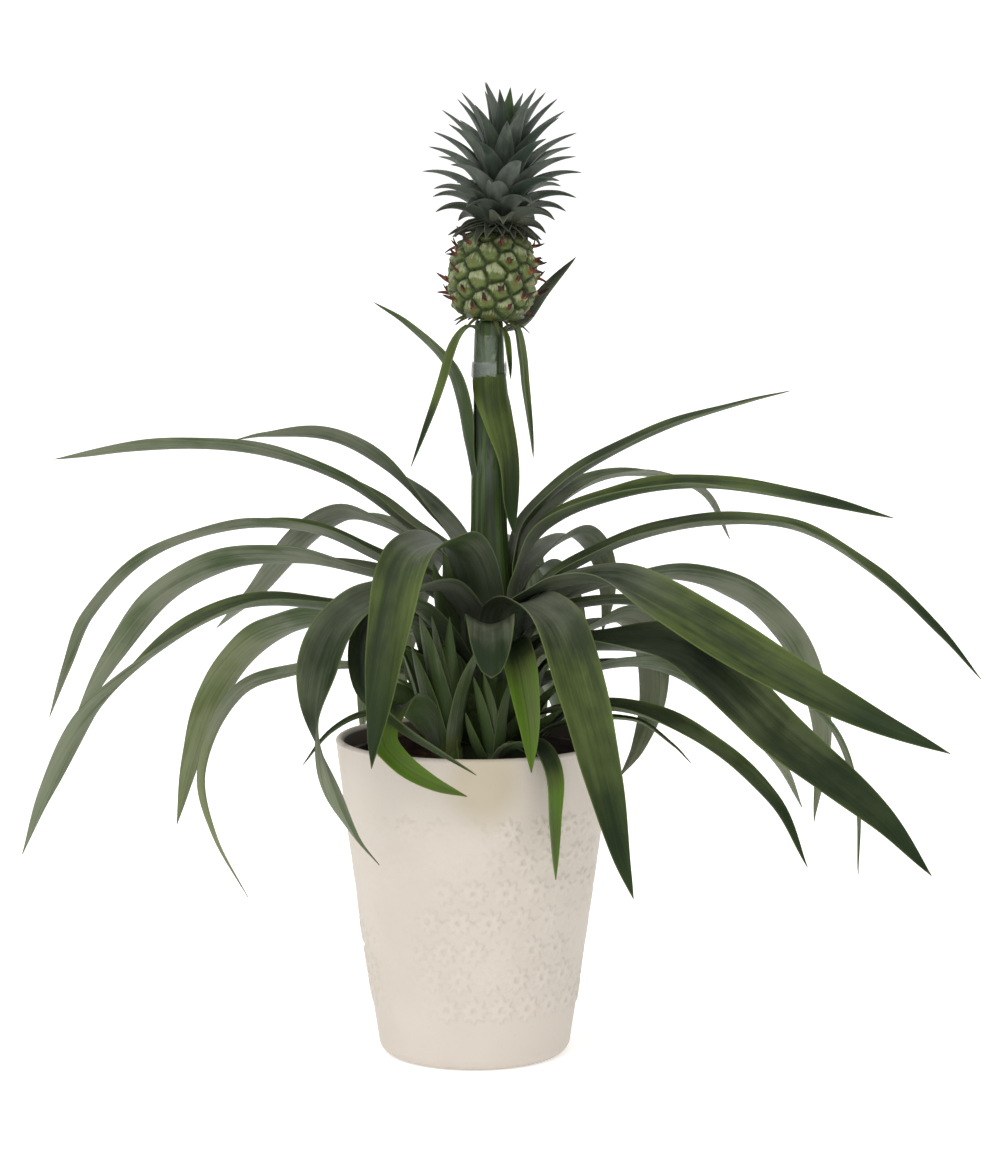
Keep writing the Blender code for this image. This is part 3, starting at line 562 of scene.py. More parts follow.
def under_finish():
    """Underside of a leaf: grey-green, with pale scales between fine darker lines."""
    f = Finish("leaf_underside", 0.16)
    grain = f.field("grain")
    edge, along, _ = f.parts("place")
    tint, paleness, _ = f.parts("tone")
    stripes = f.streaks(grain, 0.9, 0.006)
    fine = f.streaks(grain, 3, 0.03)
    patches = f.streaks(grain, 0.06, 0.022, detail=4)
    scales = f.sum(paleness, f.spread(stripes, 0.6), f.spread(patches, 1.5),
                   f.step(along, 0.35, 1, -0.2, 0.2))
    f.base(f.step(scales, -0.1, 1.15), (56, 72, 38), (115, 120, 101))
    f.coat(f.step(scales, 1.2, 2.2, 0, 0.8), 148, 152, 138)
    f.coat(f.step(along, 0.05, 0.35, 0.55, 0), 66, 71, 62)
    f.coat(f.step(along, 0.4, 0.8, 0, 0.12), 98, 116, 60)
    f.coat(f.step(tint, 0.32, 0.65, 0, 0.65), 108, 118, 58)
    f.coat(f.step(stripes, 0.28, 0.42, 0.35, 0), 58, 70, 46)
    f.shade(fine, 0.22)
    f.coat(f.step(edge, 0.95, 0.99, 0, 0.35), 124, 130, 96)
    f.coat(f.step(along, 0.98, 0.997), 96, 84, 64)
    relief = f.bump(fine, 0.0003, 0.3, Normal=f.bump(stripes, 0.0005, 0.35))
    return f.done(f.step(scales, 0, 1.3, 0.48, 0.66), relief)


def crown_finish():
    """Crown leaves: dark grey-green under a waxy bloom, with paler edges, and painted shade low down
    and at their feet.
    """
    f = Finish("crown_leaf", 0.22)
    grain = f.field("grain")
    edge, along, height = f.parts("place")
    luck, _, _ = f.parts("tone")
    veins = f.streaks(grain, 1.6, 0.05)
    patches = f.streaks(grain, 0.16, 0.07, detail=4)
    wax = f.sum(f.spread(patches, 1), f.step(luck, 0, 1, 0.2, 0.75))
    f.base(f.step(wax, 0, 1), (49, 60, 49), (95, 102, 92))
    # Painted shade: the lowest leaves darker
    f.coat(f.step(height, 0, 0.3, 0.55, 0), 46, 49, 37)
    olive = f.times(f.step(height, 0.02, 0.3, 1, 0), f.step(luck, 0.5, 0.8, 0, 0.75))
    olive = f.times(olive, f.step(along, 0.1, 0.6, 1, 0.2))
    f.coat(f.times(olive, f.step(height, -0.3, 0)), 104, 106, 84)
    f.coat(f.step(height, 0.86, 1, 0, 0.65), 66, 88, 44)
    # Painted shade: the skirt leaves round the crown's foot darker
    f.coat(f.step(height, -0.5, -0.1, 0.7, 0), 52, 54, 40)
    # Painted shade: each leaf darker at its foot
    f.coat(f.step(along, 0, 0.4, 0.35, 0), 40, 45, 36)
    f.shade(veins, 0.3)
    f.coat(f.step(edge, 0.85, 0.98, 0, 0.3), 92, 98, 86)
    f.coat(f.step(along, 0.88, 1, 0, 0.6), 74, 70, 58)
    return f.done(f.step(veins, 0.2, 0.8, 0.42, 0.58), f.bump(veins, 0.0003, 0.4))


def stalk_finish():
    """Fleshy stalk: dark green under a patchy blue-grey film that is partly a painted reflection, with a
    few small orange scars.
    """
    f = Finish("stalk", 0.35)
    grain = f.field("grain")
    streaks = f.streaks(grain, 0.22, 0.012, detail=3)
    fine = f.streaks(grain, 1.4, 0.03)
    patches = f.streaks(grain, 0.13, 0.035, detail=4)
    specks = f.streaks(grain, 0.7, 0.5)
    high = f.step(f.height(), 0.285, 0.31)
    f.base(f.step(streaks, 0.35, 0.68), (32, 44, 18), (60, 82, 28))
    # Grey film patches on the upper stalk: partly real film, partly a painted reflection
    f.coat(f.times(high, f.step(patches, 0.45, 0.6, 0, 0.6)), 86, 95, 80)
    f.shade(fine, 0.2)
    f.coat(f.step(specks, 0.75, 0.79, 0, 0.7), 136, 84, 40)
    return f.done(f.step(patches, 0.3, 0.7, 0.32, 0.52), f.bump(fine, 0.0003, 0.35))


def fruit_finish():
    """Fruit skin: green eyes with whitish hoods and brown remains of flowers, between dark seams."""
    f = Finish("fruit_skin", 0.3)
    seam, rise, luck = f.parts("eye")
    spot = f.field("spot")
    up = f.split(spot)[1]
    mottle = f.noise(420, 3)
    fine = f.noise(1800)
    rays = f.streaks(spot, 1.1, 0.16, 0.4)
    body = f.sum(seam, f.spread(mottle, 0.2))
    f.base(f.step(body, 0, 0.36), (32, 42, 14), (67, 80, 32))
    f.coat(f.step(body, 0.25, 0.8, 0, 0.8), 92, 103, 53)
    hood = f.sum(f.step(up, -2, 1.8), f.spread(rays, 1.3), f.step(luck, 0, 1, -0.3, 0.2))
    f.coat(f.times(f.step(hood, 0.45, 1.15), f.step(body, 0.15, 0.5, 0, 0.85)), 142, 148, 112)
    browning = f.sum(f.step(rise, 0.4, 2.2, 1, 0), f.spread(mottle, 0.9), f.spread(rays, 0.4))
    f.coat(f.step(browning, 0.48, 1.05, 0, 0.85), 122, 76, 34)
    f.coat(f.step(browning, 1, 1.35, 0, 0.8), 150, 62, 30)
    height = f.height()
    # Painted shade: the fruit darker towards its top, under the crown
    f.coat(f.step(height, 0.405, 0.424, 0, 0.4), 46, 54, 26)
    f.coat(f.step(height, 0.38, 0.388, 0.5, 0), 40, 46, 24)
    f.shade(f.sum(fine, f.spread(mottle, 0.6)), 0.3)
    relief = f.bump(mottle, 0.001, 0.3, Normal=f.bump(fine, 0.0004, 0.35))
    return f.done(f.step(mottle, 0.3, 0.7, 0.42, 0.6), relief)


def bract_finish():
    """Dry bracts and flower remains: olive at the foot, then orange-red, dark and dull at the tip."""
    f = Finish("dry_bract", 0.2)
    along, luck, green = f.parts("bract")
    mottle = f.noise(900)
    share = f.sum(along, f.spread(mottle, 0.3))
    f.base(f.step(luck, 0.35, 0.9), (130, 76, 48), (82, 50, 38))
    f.coat(f.step(f.sum(share, f.step(luck, 0.1, 0.9, 0.4, 0)), 0.55, 1), 52, 38, 36)
    f.coat(f.step(share, 0, 0.35, 0.9, 0), 104, 100, 50)
    f.coat(green, 72, 82, 44)
    return f.done(f.step(mottle, 0.3, 0.7, 0.6, 0.8), f.bump(mottle, 0.0005, 0.5))


def ceramic_finish():
    """Matt cream stoneware, finely speckled, with a painted olive shadow and reflection of the leaves
    below the rim, a painted highlight on the raised relief and painted shade inside.
    """
    f = Finish("ceramic", 0.12)
    clouds = f.noise(14, 3)
    speckle = f.noise(900)
    grit = f.noise(320, 3)
    lifted = f.field("lifted", "Fac")
    flat = f.stretch(f.place(), 1, 1, 0.8)
    apart = f.node("VectorMath", {0: flat, 1: LEAF_SHADOW_SPOT}, "Value", operation="DISTANCE")
    f.base(f.step(clouds, 0.3, 0.7), (197, 188, 177), (205, 196, 186))
    # Painted shadow and reflection of the leaves: an olive patch below the rim
    leaf_shadow = f.sum(f.step(apart, 0, 0.031, 0.7, 0), f.spread(clouds, 0.3))
    f.coat(f.step(leaf_shadow, 0, 0.6, 0, 0.6), 168, 156, 124)
    f.coat(f.step(speckle, 0.62, 0.75, 0, 0.25), 182, 166, 146)
    # Painted highlight: the raised relief lighter
    f.coat(f.step(lifted, 0.1, 0.9, 0, 0.12), 224, 216, 205)
    # Painted shade: the inside of the pot dark soil-brown
    f.coat(f.step(lifted, -0.9, -0.1, 0.9, 0), 66, 54, 44)
    relief = f.bump(speckle, 0.0002, 0.2, Normal=f.bump(grit, 0.0006, 0.1))
    return f.done(f.step(clouds, 0.3, 0.7, 0.52, 0.66), relief)


def dark_plastic_finish():
    f = Finish("dark_plastic", 0.4)
    scuffs = f.streaks(f.place(), 60, 60, 420, detail=3)
    f.base(f.step(scuffs, 0.35, 0.7), (44, 30, 30), (76, 52, 48))
    return f.done(f.step(scuffs, 0.3, 0.7, 0.4, 0.6), f.bump(scuffs, 0.0003, 0.4))


def soil_finish():
    """Dark peaty crumbs with paler fibres."""
    f = Finish("potting_soil", 0.1)
    crumbs = f.noise(260, 5)
    fibres = f.streaks(f.place(), 900, 160, 300, detail=3)
    f.base(f.step(crumbs, 0.35, 0.7), (34, 27, 22), (78, 60, 44))
    f.coat(f.step(fibres, 0.66, 0.74, 0, 0.8), 126, 104, 76)
    return f.done(0.95, f.bump(crumbs, 0.0015, 0.8))


def film_finish():
    """Clear film with faint scuffs, and a whitish, more opaque band along its lower edge that is a
    painted reflection.
    """
    f = Finish("clear_plastic", 0.5, IOR=1.4, Metallic=0)
    scuffs = f.noise(240, 3)
    # Painted reflection: a whitish, more opaque band along the lower edge
    reflection_band = f.step(f.sum(f.height(), f.spread(scuffs, 0.004)), 0.356, 0.359, 1, 0)
    f.base(reflection_band, (186, 194, 184), (126, 134, 124))
    f.use(Alpha=f.sum(f.step(scuffs, 0.5, 0.78, 0.04, 0.2), f.times(reflection_band, 0.5)))
    return f.done(f.step(scuffs, 0.35, 0.75, 0.1, 0.25), f.bump(scuffs, 0.0004, 0.08))


def floor_finish():
    f = Finish("floor", 0.1, Emission_Strength=FLOOR_GLOW)
    clouds = f.noise(2)
    f.base(clouds, (246, 246, 246), (249, 249, 249))
    return f.use(Base_Color=f.colour, Roughness=f.step(clouds, 0, 1, 0.8, 0.9))


def placed(name, data):
    """A new object in the scene."""
    item = bpy.data.objects.new(name, data)
    bpy.context.scene.collection.objects.link(item)
    return item


class Shape:
    """Points, faces, finishes and fields of one mesh, gathered from several surfaces."""

    def __init__(self):
        self.points = []
        self.faces = []
        self.finishes = []
        self.fields = {}

    def add(self, points, blocks, **fields):
        """Adds a surface from blocks of faces and a finish. A field is one number or triple for each
        point, or one number for all."""
        start = sum(len(p) for p in self.points)
        self.points.append(points)
        for faces, finish in blocks:
            self.faces += (faces + start).tolist()
            self.finishes += [finish] * len(faces)
        for name, values in fields.items():
            values = np.asarray(values, float) if np.ndim(values) else np.full(points.shape, float(values))
            self.fields.setdefault(name, []).append(values)

    def lean(self, turn, foot):
        """Turns the points about Y by some degrees, then moves their origin to foot, given as (x, z)."""
        turn = math.radians(turn)
        for points in self.points:
            x, z = points[:, 0].copy(), points[:, 2].copy()
            points[:, 0] = x * math.cos(turn) + z * math.sin(turn) + foot[0]
            points[:, 2] = z * math.cos(turn) - x * math.sin(turn) + foot[1]

    def item(self, name, finishes=()):
        mesh = bpy.data.meshes.new(name)
        mesh.from_pydata(np.concatenate(self.points) * MM, [], self.faces)
        for field, blocks in self.fields.items():
            values = np.concatenate(blocks)
            kind, key = ("FLOAT_VECTOR", "vector") if values.ndim == 2 else ("FLOAT", "value")
            mesh.attributes.new(field, kind, "POINT").data.foreach_set(key, values.ravel())
        for finish in finishes:
            mesh.materials.append(finish)
        mesh.polygons.foreach_set("material_index", self.finishes)
        return placed(name, mesh)

    def piece(self, node, finishes, sharp=60):
        """The mesh as an object that stands for a node."""
        item = self.item(node + "_fine", finishes)
        item.data.shade_smooth()
        item.data.set_sharp_from_angle(angle=math.radians(sharp))
        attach(item, "root")
        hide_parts(node)
        return item


def grid_faces(rows, columns, closed=False, flip=False, start=0):
    """Quads of a grid whose points run along each row; closed joins the last column to the first."""
    i, j = np.indices((rows - 1, columns if closed else columns - 1))
    a = start + i * columns + j
    b = start + i * columns + (j + 1) % columns
    quads = stack(a, b, b + columns, a + columns).reshape(-1, 4)
    return quads[:, ::-1] if flip else quads


def fan_faces(centre, ring, flip=False):
    """Triangles from a centre point to a closed ring of points."""
    fans = stack(centre, ring, np.roll(ring, -1))
    return fans[:, ::-1] if flip else fans


def ring_turns(steps):
    return np.arange(steps) * (2 * math.pi / steps)


def turned_points(profile, steps, shift=0.0):
    """Rings of points round Z from the top down; shift moves each point outwards."""
    turn = ring_turns(steps)
    radius, height = (np.array(column, float)[:, None] for column in zip(*profile))
    radius = radius + shift
    return stack(radius * np.cos(turn), radius * np.sin(turn), height).reshape(-1, 3)


def turned(shape, profile, steps, shift=0.0, finish=0, **fields):
    """A closed round body from a profile of (radius, height) with both ends on its axis, which runs
    down its outer side. A field may be a rule that works on the points."""
    points = turned_points(profile[1:-1], steps, shift)
    count = len(points)
    points = np.vstack((points, [(0, 0, profile[0][1]), (0, 0, profile[-1][1])]))
    faces = (grid_faces(len(profile) - 2, steps, closed=True, flip=True),
             fan_faces(count, np.arange(steps)),
             fan_faces(count + 1, np.arange(count - steps, count), flip=True))
    fields = {name: rule(points) if callable(rule) else rule for name, rule in fields.items()}
    shape.add(points, [(block, finish) for block in faces], **fields)


def shell(shape, middle, thickness, finishes=(0, 1), **fields):
    """A thin closed sheet from a grid of its middle points. Rows run along it, and its upper face
    lies where the way along it, crossed with the way across, points."""
    rows, columns = middle.shape[:2]
    count = rows * columns
    up = unit(np.cross(np.gradient(middle, axis=0), np.gradient(middle, axis=1)))
    half = up * np.asarray(thickness)[..., None] / 2
    points = np.vstack([side.reshape(-1, 3) for side in (middle + half, middle - half)])
    left = np.arange(rows) * columns
    foot = np.arange(columns)

    def strip(line):
        return stack(line[:-1], line[:-1] + count, line[1:] + count, line[1:])

    upper = np.concatenate((grid_faces(rows, columns, flip=True), strip(left),
                            strip(left + columns - 1)[:, ::-1], strip(foot)[:, ::-1],
                            strip(foot + count - columns)))
    under = grid_faces(rows, columns, start=count)
    fields = {name: np.tile(np.broadcast_to(values, middle.shape).reshape(-1, 3), (2, 1))
              for name, values in fields.items()}
    shape.add(points, ((upper, finishes[0]), (under, finishes[1])), **fields)


def smooth_route(route):
    """Evenly spaced points on a smooth curve through a route, and how far along it each lies."""
    points = [Vector(point) for point in route]
    ways = [(after - before).normalized()
            for before, after in zip((points[0], *points), (*points[1:], points[-1]))]
    dense = []
    for start, end, leave, arrive in zip(points, points[1:], ways, ways[1:]):
        reach = (end - start).length / 3
        dense += interpolate_bezier(start, start + leave * reach, end - arrive * reach, end,
                                    ROUTE_STEPS)[:-1]
    dense = np.array([*dense, points[-1]])
    runs = np.concatenate(([0], np.cumsum(np.linalg.norm(np.diff(dense, axis=0), axis=1))))
    goals = np.linspace(0, runs[-1], max(5, round(runs[-1] / STATION_SPACING) + 1))
    return np.stack([np.interp(goals, runs, dense[:, k]) for k in range(3)], axis=-1), goals[:, None]


def stem_radius(height):
    heights, radii = zip(*STEM_PROFILE[::-1])
    return np.interp(height, heights, radii)


def soft_v(across):
    """Section of a channelled leaf: a V with a rounded keel, 0 in the middle and 1 at the edges."""
    return (np.sqrt(across ** 2 + KEEL ** 2) - KEEL) / (math.sqrt(1 + KEEL ** 2) - KEEL)


def blade_width(along, root, outline):
    """Share of a leaf's full width: narrower at its foot, then broad, then a long point."""
    share, tail, power = outline
    body = share * (root + (1 - root) * blend(0, 0.3, along)) * mix((1, tail), blend(0.5, 0.68, along))
    return body * np.maximum(1 - along ** POINT_POWER, 0) ** power


def blade_fold(along):
    """How far each half of the blade is folded up, from a channel to a nearly flat tip."""
    return np.radians(FOLD[0] + FOLD[1] * blend(0, 0.12, along) * (1 - FOLD_LOSS * along))


def blade_roll(along, rolls):
    late = mix(rolls, blend(0.5, 1, along))
    return np.radians(np.where(along < 0.5, rolls[0] * blend(0.1, 0.5, along), late))


def blade(shape, route, side, width, look, seed, rolls=(0, 0), root=LEAF_ROOT, start=0.0, clasp=None,
          outline=USUAL_OUTLINE):
    """One fine leaf along its route, whose own length begins at start. clasp gives an azimuth, two
    distances and a swing: up to the first distance the leaf wraps the stem, swung round it by that
    angle, and past the second it is free."""
    draw = random.Random(seed)
    stations, runs = smooth_route(route)
    along = np.clip((runs - start) / (runs[-1] - start), 0, 1)
    way = unit(np.gradient(stations, axis=0))
    flat = unit(side - way * (way @ np.array(side))[:, None])
    up = np.cross(way, flat)
    roll = blade_roll(along, rolls)
    flat, up = flat * np.cos(roll) + up * np.sin(roll), up * np.cos(roll) - flat * np.sin(roll)
    across = np.linspace(-1, 1, ACROSS)
    half = np.maximum(width * blade_width(along, root, outline), TIP_WIDTH) / 2
    fold = blade_fold(along)
    lift = (soft_v(across) - KEEL_SHARE * blend(0, 0.2, along)) * half * np.sin(fold)
    for edge in (-1, 1):
        pitch, phase = draw.uniform(*WAVE_PITCH), draw.uniform(0, 6.3)
        sway = np.sin(runs / pitch * 2 * math.pi + phase) + 0.5 * np.sin(runs / pitch * 4.6 + 2 * phase)
        lift = lift + (WAVE_SHARE * half * sway) * np.clip(edge * across, 0, 1) ** 2
    middle = (stations[:, None] + flat[:, None] * (across * half * np.cos(fold))[..., None]
              + up[:, None] * lift[..., None])
    if clasp:
        azimuth, held, free, swing = clasp
        tied = 1 - blend(held, free, runs)
        x, y, height = np.hsplit(stations, 3)
        reach = np.hypot(x - STEM_X, y)
        turn = azimuth + swing * tied + across * half / reach
        wrapped = stack(STEM_X + reach * np.cos(turn), reach * np.sin(turn), height)
        middle = middle + (wrapped - middle) * tied[..., None]
    thick = (MIDRIB_THICKNESS - MARGIN_THICKNESS) * (1 - across ** 2) * (1 - MIDRIB_LOSS * along)
    thick = np.minimum(MARGIN_THICKNESS + thick, 2.2 * half)
    tint, bloom, pale = (share + draw.uniform(-LOOK_SPREAD, LOOK_SPREAD) for share in look[:3])
    change, late_tint, late_bloom = look[3:]
    outer = blend(change, change + LOOK_CHANGE, along)
    shell(shape, middle, thick, grain=stack(across * half, runs, seed * 17.3),
          place=stack(np.abs(across), along, bloom + late_bloom * outer),
          tone=stack(tint + late_tint * outer, pale, draw.random()))


def make_leaf(name, row, seed, finishes, sheathed):
    """A leaf that grows from the stem at its seat height, where its foot clasps the stem."""
    azimuth, seat, width, rolls, look, *route = row
    turn = math.radians(azimuth)
    out, side = compass(turn)
    places = [(stem_radius(seat) + SEAT_CLEARANCE, seat), *route]
    runs = np.cumsum([0, *map(math.dist, places, places[1:])])
    drifts = [*SWAYS.get(name, 0) * (runs / runs[-1]) ** 3]
    held = {}
    if sheathed:
        foot = max(seat - SHEATH_DEPTH, SHEATH_FOOT)
        places[0] = (places[0][0] + SHEATH_FLARE, seat)
        places.insert(0, (stem_radius(foot) + SEAT_CLEARANCE, foot))
        drifts.insert(0, 0)
        depth = seat - foot
        held = {"root": SHEATH_SHARE, "start": depth, "clasp": (turn, depth, depth + SHEATH_FREE, 0)}
    elif name in STALK_CLASPS:
        root, near, far, swing, sink = STALK_CLASPS[name]
        places[0] = (stem_radius(seat) - sink, seat)
        held = {"root": root, "clasp": (turn, near, far, math.radians(swing))}
    spots = [(STEM_X, 0, height) + out * reach + side * drift
             for (reach, height), drift in zip(places, drifts)]
    shape = Shape()
    blade(shape, spots, side, width, look, seed, rolls, outline=OUTLINES.get(name, USUAL_OUTLINE), **held)
    shape.piece(name, finishes)


def old_leaf(shape, turn, top, reach, width, seed):
    """A short old leaf from the foot of the stem, in the dark heart of the plant, coloured darker as
    painted shade.
    """
    out, side = compass(turn)
    foot = stem_radius(SHEATH_FOOT) + SEAT_CLEARANCE
    route = ((foot, SHEATH_FOOT), (foot + 1.5, SHEATH_FOOT + OLD_LEAF_RISE),
             (mix((foot, reach), 0.4), top - OLD_LEAF_RISE), (reach, top))
    spots = [(STEM_X, 0, height) + out * away for away, height in route]
    blade(shape, spots, side, width, OLD_SHADED, seed, root=1, clasp=(turn, *OLD_LEAF_FREE, 0))


def arc(centre_r, centre_z, radius, start, end, count):
    """Points (radius, height) on an arc, from one angle to the other."""
    turns = np.radians(np.linspace(start, end, count))
    return [(centre_r + radius * math.cos(t), centre_z + radius * math.sin(t)) for t in turns]


def pot_outer(height):
    """Outside of the ceramic pot above its rounded foot: a taper that bulges very slightly."""
    rise = (height - POT_FOOT_ROUND) / (POT_HEIGHT - POT_FOOT_ROUND)
    return mix((POT_FOOT_RADIUS, POT_RIM_RADIUS), rise) + POT_BULGE * math.sin(math.pi * rise)


def petals(turn, height):
    """Height of the flower relief, from 0 to 1, where the pot's side is unrolled."""
    total = np.zeros(np.broadcast(turn, height).shape)
    radius = mix((POT_FOOT_RADIUS, POT_RIM_RADIUS), height / POT_HEIGHT)
    for row in range(MOTIF_ROWS):
        columns = turn * MOTIFS_ROUND / (2 * math.pi) + 0.5 * (row % 2)
        x = (columns - np.round(columns)) * 2 * math.pi / MOTIFS_ROUND * radius
        y = height - (MOTIF_LOW + row * MOTIF_ROW_HEIGHT)
        reach = np.hypot(x, y)
        bearing = np.arctan2(y, x) * PETALS / (2 * math.pi)
        aside = reach * np.sin((bearing - np.round(bearing)) * 2 * math.pi / PETALS)
        share = np.clip((reach - PETAL_START) / (PETAL_END - PETAL_START), 0, 1)
        half = PETAL_HALF_WIDTH * np.sin(math.pi * share ** 0.8) ** 0.7 + 1e-6
        place = np.clip(np.abs(aside) / half, 0, 1)
        lens = (1 - place ** 4) * (0.55 + 0.45 * blend(0.15, 0.75, place))
        total = np.maximum(total, np.where((share > 0) & (share < 1), lens, 0))
    return total


def relief_wear(turn, height):
    """Share of the relief that is left at a place: crisp right of the front, patchy elsewhere."""
    spots = stack(np.cos(turn) * 1.6, np.sin(turn) * 1.6, height / 42)
    wear = [noise.noise(Vector(spot) + Vector((3.1, 0.4, 7.7))) for spot in spots.reshape(-1, 3)]
    aside = (turn - math.radians(CRISP_AZIMUTH) + math.pi) % (2 * math.pi) - math.pi
    crisp = 0.7 * np.exp(-(aside / math.radians(CRISP_SPREAD)) ** 2)
    return blend(-0.25, 0.45, np.reshape(wear, spots.shape[:2]) + crisp) * 0.85 + 0.15


def make_pot(finish):
    floor_top = POT_FLOOR + POT_FLOOR_ROUND
    floor_edge = pot_outer(floor_top) - POT_WALL - POT_FLOOR_ROUND
    lip = POT_HEIGHT - POT_LIP_ROUND
    inner = [(0, POT_FLOOR)]
    inner += arc(floor_edge, floor_top, POT_FLOOR_ROUND, -90, -10, 5)
    inner += [(pot_outer(z) - POT_WALL, z) for z in np.linspace(floor_top, lip - INNER_SHADE_BELOW, 9)]
    inner += arc(POT_RIM_RADIUS - POT_LIP_ROUND, lip, POT_LIP_ROUND, 150, 10, 8)
    rows = round((lip - POT_FOOT_ROUND) / RELIEF_SPACING)
    outer = [(pot_outer(z), z) for z in np.linspace(lip, POT_FOOT_ROUND, rows)]
    outer += arc(POT_FOOT_RADIUS - POT_FOOT_ROUND, POT_FOOT_ROUND, POT_FOOT_ROUND, -8, -90, 10)
    outer += [(0, 0)]
    heights = np.array([z for _, z in inner + outer])[1:-1, None]
    outside = np.arange(len(heights))[:, None] >= len(inner) - 1
    turn = ring_turns(POT_STEPS)
    top = MOTIF_LOW + (MOTIF_ROWS - 1) * MOTIF_ROW_HEIGHT + PETAL_END
    patterned = outside & (heights > MOTIF_LOW - PETAL_END) & (heights < top)
    lift = petals(turn, heights) * relief_wear(turn, heights) * patterned
    # Painted shade inside the pot, below the lip
    inner_shade = ~outside & (heights < lip - INNER_SHADE_BELOW / 2)
    shape = Shape()
    turned(shape, inner + outer, POT_STEPS, lift * RELIEF_HEIGHT,
           lifted=np.concatenate(((lift - inner_shade).ravel(), (-1, 0))))
    shape.piece("pot", [finish])


def nursery_rim_radius():
    return pot_outer(NURSERY_RIM_LOW) - POT_WALL - GAP


def nursery_outer(height):
    """Outside of the nursery pot's wall below its rim bead."""
    top = nursery_rim_radius() - NURSERY_STEP_IN
    rise = (height - NURSERY_BASE) / (NURSERY_RIM_LOW - NURSERY_BASE)
    return mix((NURSERY_BASE_RADIUS, top), rise)


def make_nursery_pot(finish):
    rim = nursery_rim_radius()
    wall = nursery_outer(NURSERY_RIM_LOW)
    base = NURSERY_BASE_RADIUS
    inside = wall - NURSERY_WALL
    profile = [(0, NURSERY_BASE + NURSERY_WALL), (base - NURSERY_WALL, NURSERY_BASE + NURSERY_WALL),
               (inside, NURSERY_RIM_LOW), (inside, NURSERY_RIM_HIGH - 0.5)]
    profile += arc(inside + 0.5, NURSERY_RIM_HIGH - 0.5, 0.5, 170, 90, 4)
    profile += arc(rim - 0.8, NURSERY_RIM_HIGH - 0.8, 0.8, 90, 0, 5)
    profile += [(rim, NURSERY_RIM_LOW), (wall, NURSERY_RIM_LOW), (base, NURSERY_BASE + 1),
                (base - 1, NURSERY_BASE), (0, NURSERY_BASE)]
    shape = Shape()
    turned(shape, profile, NURSERY_STEPS)
    item = shape.piece("nursery_pot", [finish], sharp=40)
    drains = Shape()
    for turn in ring_turns(DRAIN_COUNT):
        profile = [(0, DRAIN_CUT), (DRAIN_RADIUS, DRAIN_CUT), (DRAIN_RADIUS, -DRAIN_CUT), (0, -DRAIN_CUT)]
        turned(drains, profile, DRAIN_STEPS)
        drains.points[-1] += compass(turn)[0] * DRAIN_CIRCLE + (0, 0, NURSERY_BASE)
    cut = item.modifiers.new("Drains", "BOOLEAN")
    cut.object = drains.item("drain_holes")
    bpy.context.view_layer.update()
    drained = item.evaluated_get(bpy.context.evaluated_depsgraph_get())
    drained = bpy.data.meshes.new_from_object(drained)
    bpy.data.objects.remove(cut.object)
    item.modifiers.clear()
    item.data = drained


def soil_height(x, y, edge):
    """Top of the soil at a place: a low mound with lumps and crumbs."""
    spot = Vector((x, y, 0))
    mound = SOIL_TOP + SOIL_CROWN * (1 - math.hypot(x, y) / edge)
    return mound + sum(height * noise.noise(spot * scale) for height, scale in SOIL_LUMPS)


def make_soil(finish):
    low = NURSERY_BASE + NURSERY_WALL + GAP
    edge = nursery_outer(SOIL_TOP) - NURSERY_WALL - GAP
    low_edge = nursery_outer(low) - NURSERY_WALL - GAP
    profile = [(r, SOIL_TOP) for r in np.linspace(0, edge, SOIL_RINGS)] + [(low_edge, low), (0, low)]
    shape = Shape()
    turned(shape, profile, SOIL_STEPS)
    for point in shape.points[0]:
        if point[2] > SOIL_TOP - 1:
            fade = 1 - blend(edge - 3, edge, math.hypot(point[0], point[1]))
            point[2] += (soil_height(point[0], point[1], edge) - SOIL_TOP) * fade
    shape.piece("soil", [finish], sharp=80)


def make_stem(finishes):
    """Stem and stalk, with faint ribs and low swellings, and the old leaves round its foot."""
    top, low = STEM_PROFILE[0][0], STEM_PROFILE[-1][0]
    heights = [*np.arange(top - STEM_ROUND, low, -STEM_SPACING), low]
    profile = [(0, top), (stem_radius(top) - STEM_ROUND, top)]
    profile += [*((stem_radius(z), z) for z in heights), (0, low)]
    turn = ring_turns(STEM_STEPS)
    height = np.array(profile)[1:-1, 1:]
    shift = STEM_RIBS[0] * np.cos(turn * 5 + height * 0.02)
    shift = shift + STEM_RIBS[1] * np.cos(turn * 17 - height * 0.015)
    shift = shift + STEM_SWELLING * np.sin(height * 0.11 + 2 * turn)

    def grain(points):
        turn = np.arctan2(points[:, 1], points[:, 0])
        return stack(np.cos(turn) * STEM_GRAIN, points[:, 2], np.sin(turn) * STEM_GRAIN)

    shape = Shape()
    turned(shape, profile, STEM_STEPS, shift, finish=2, grain=grain, place=0, tone=0)
    shape.points[0][:, 0] += STEM_X
    draw = random.Random(5)
    for i in range(OLD_LEAVES):
        turn = 2 * math.pi * i / OLD_LEAVES + draw.uniform(-0.2, 0.2)
        reach = draw.uniform(*OLD_LEAF_REACH)
        if math.sin(turn) < -0.6:
            reach = min(reach, OLD_FRONT_REACH)
        old_leaf(shape, turn, draw.uniform(*OLD_LEAF_TOP), reach, draw.uniform(*OLD_LEAF_WIDTH), 400 + i)
    for i, (turn, top, reach) in enumerate(OLD_LEFT_LEAVES):
        old_leaf(shape, math.radians(turn), top, reach, OLD_LEFT_WIDTH, 450 + i)
    for i, (width, *route) in enumerate(FANNED_LEAVES):
        blade(shape, route, FANNED_SIDE, width, OLD_SHADED, 470 + i, root=0.9)
    shape.piece("stem", finishes)


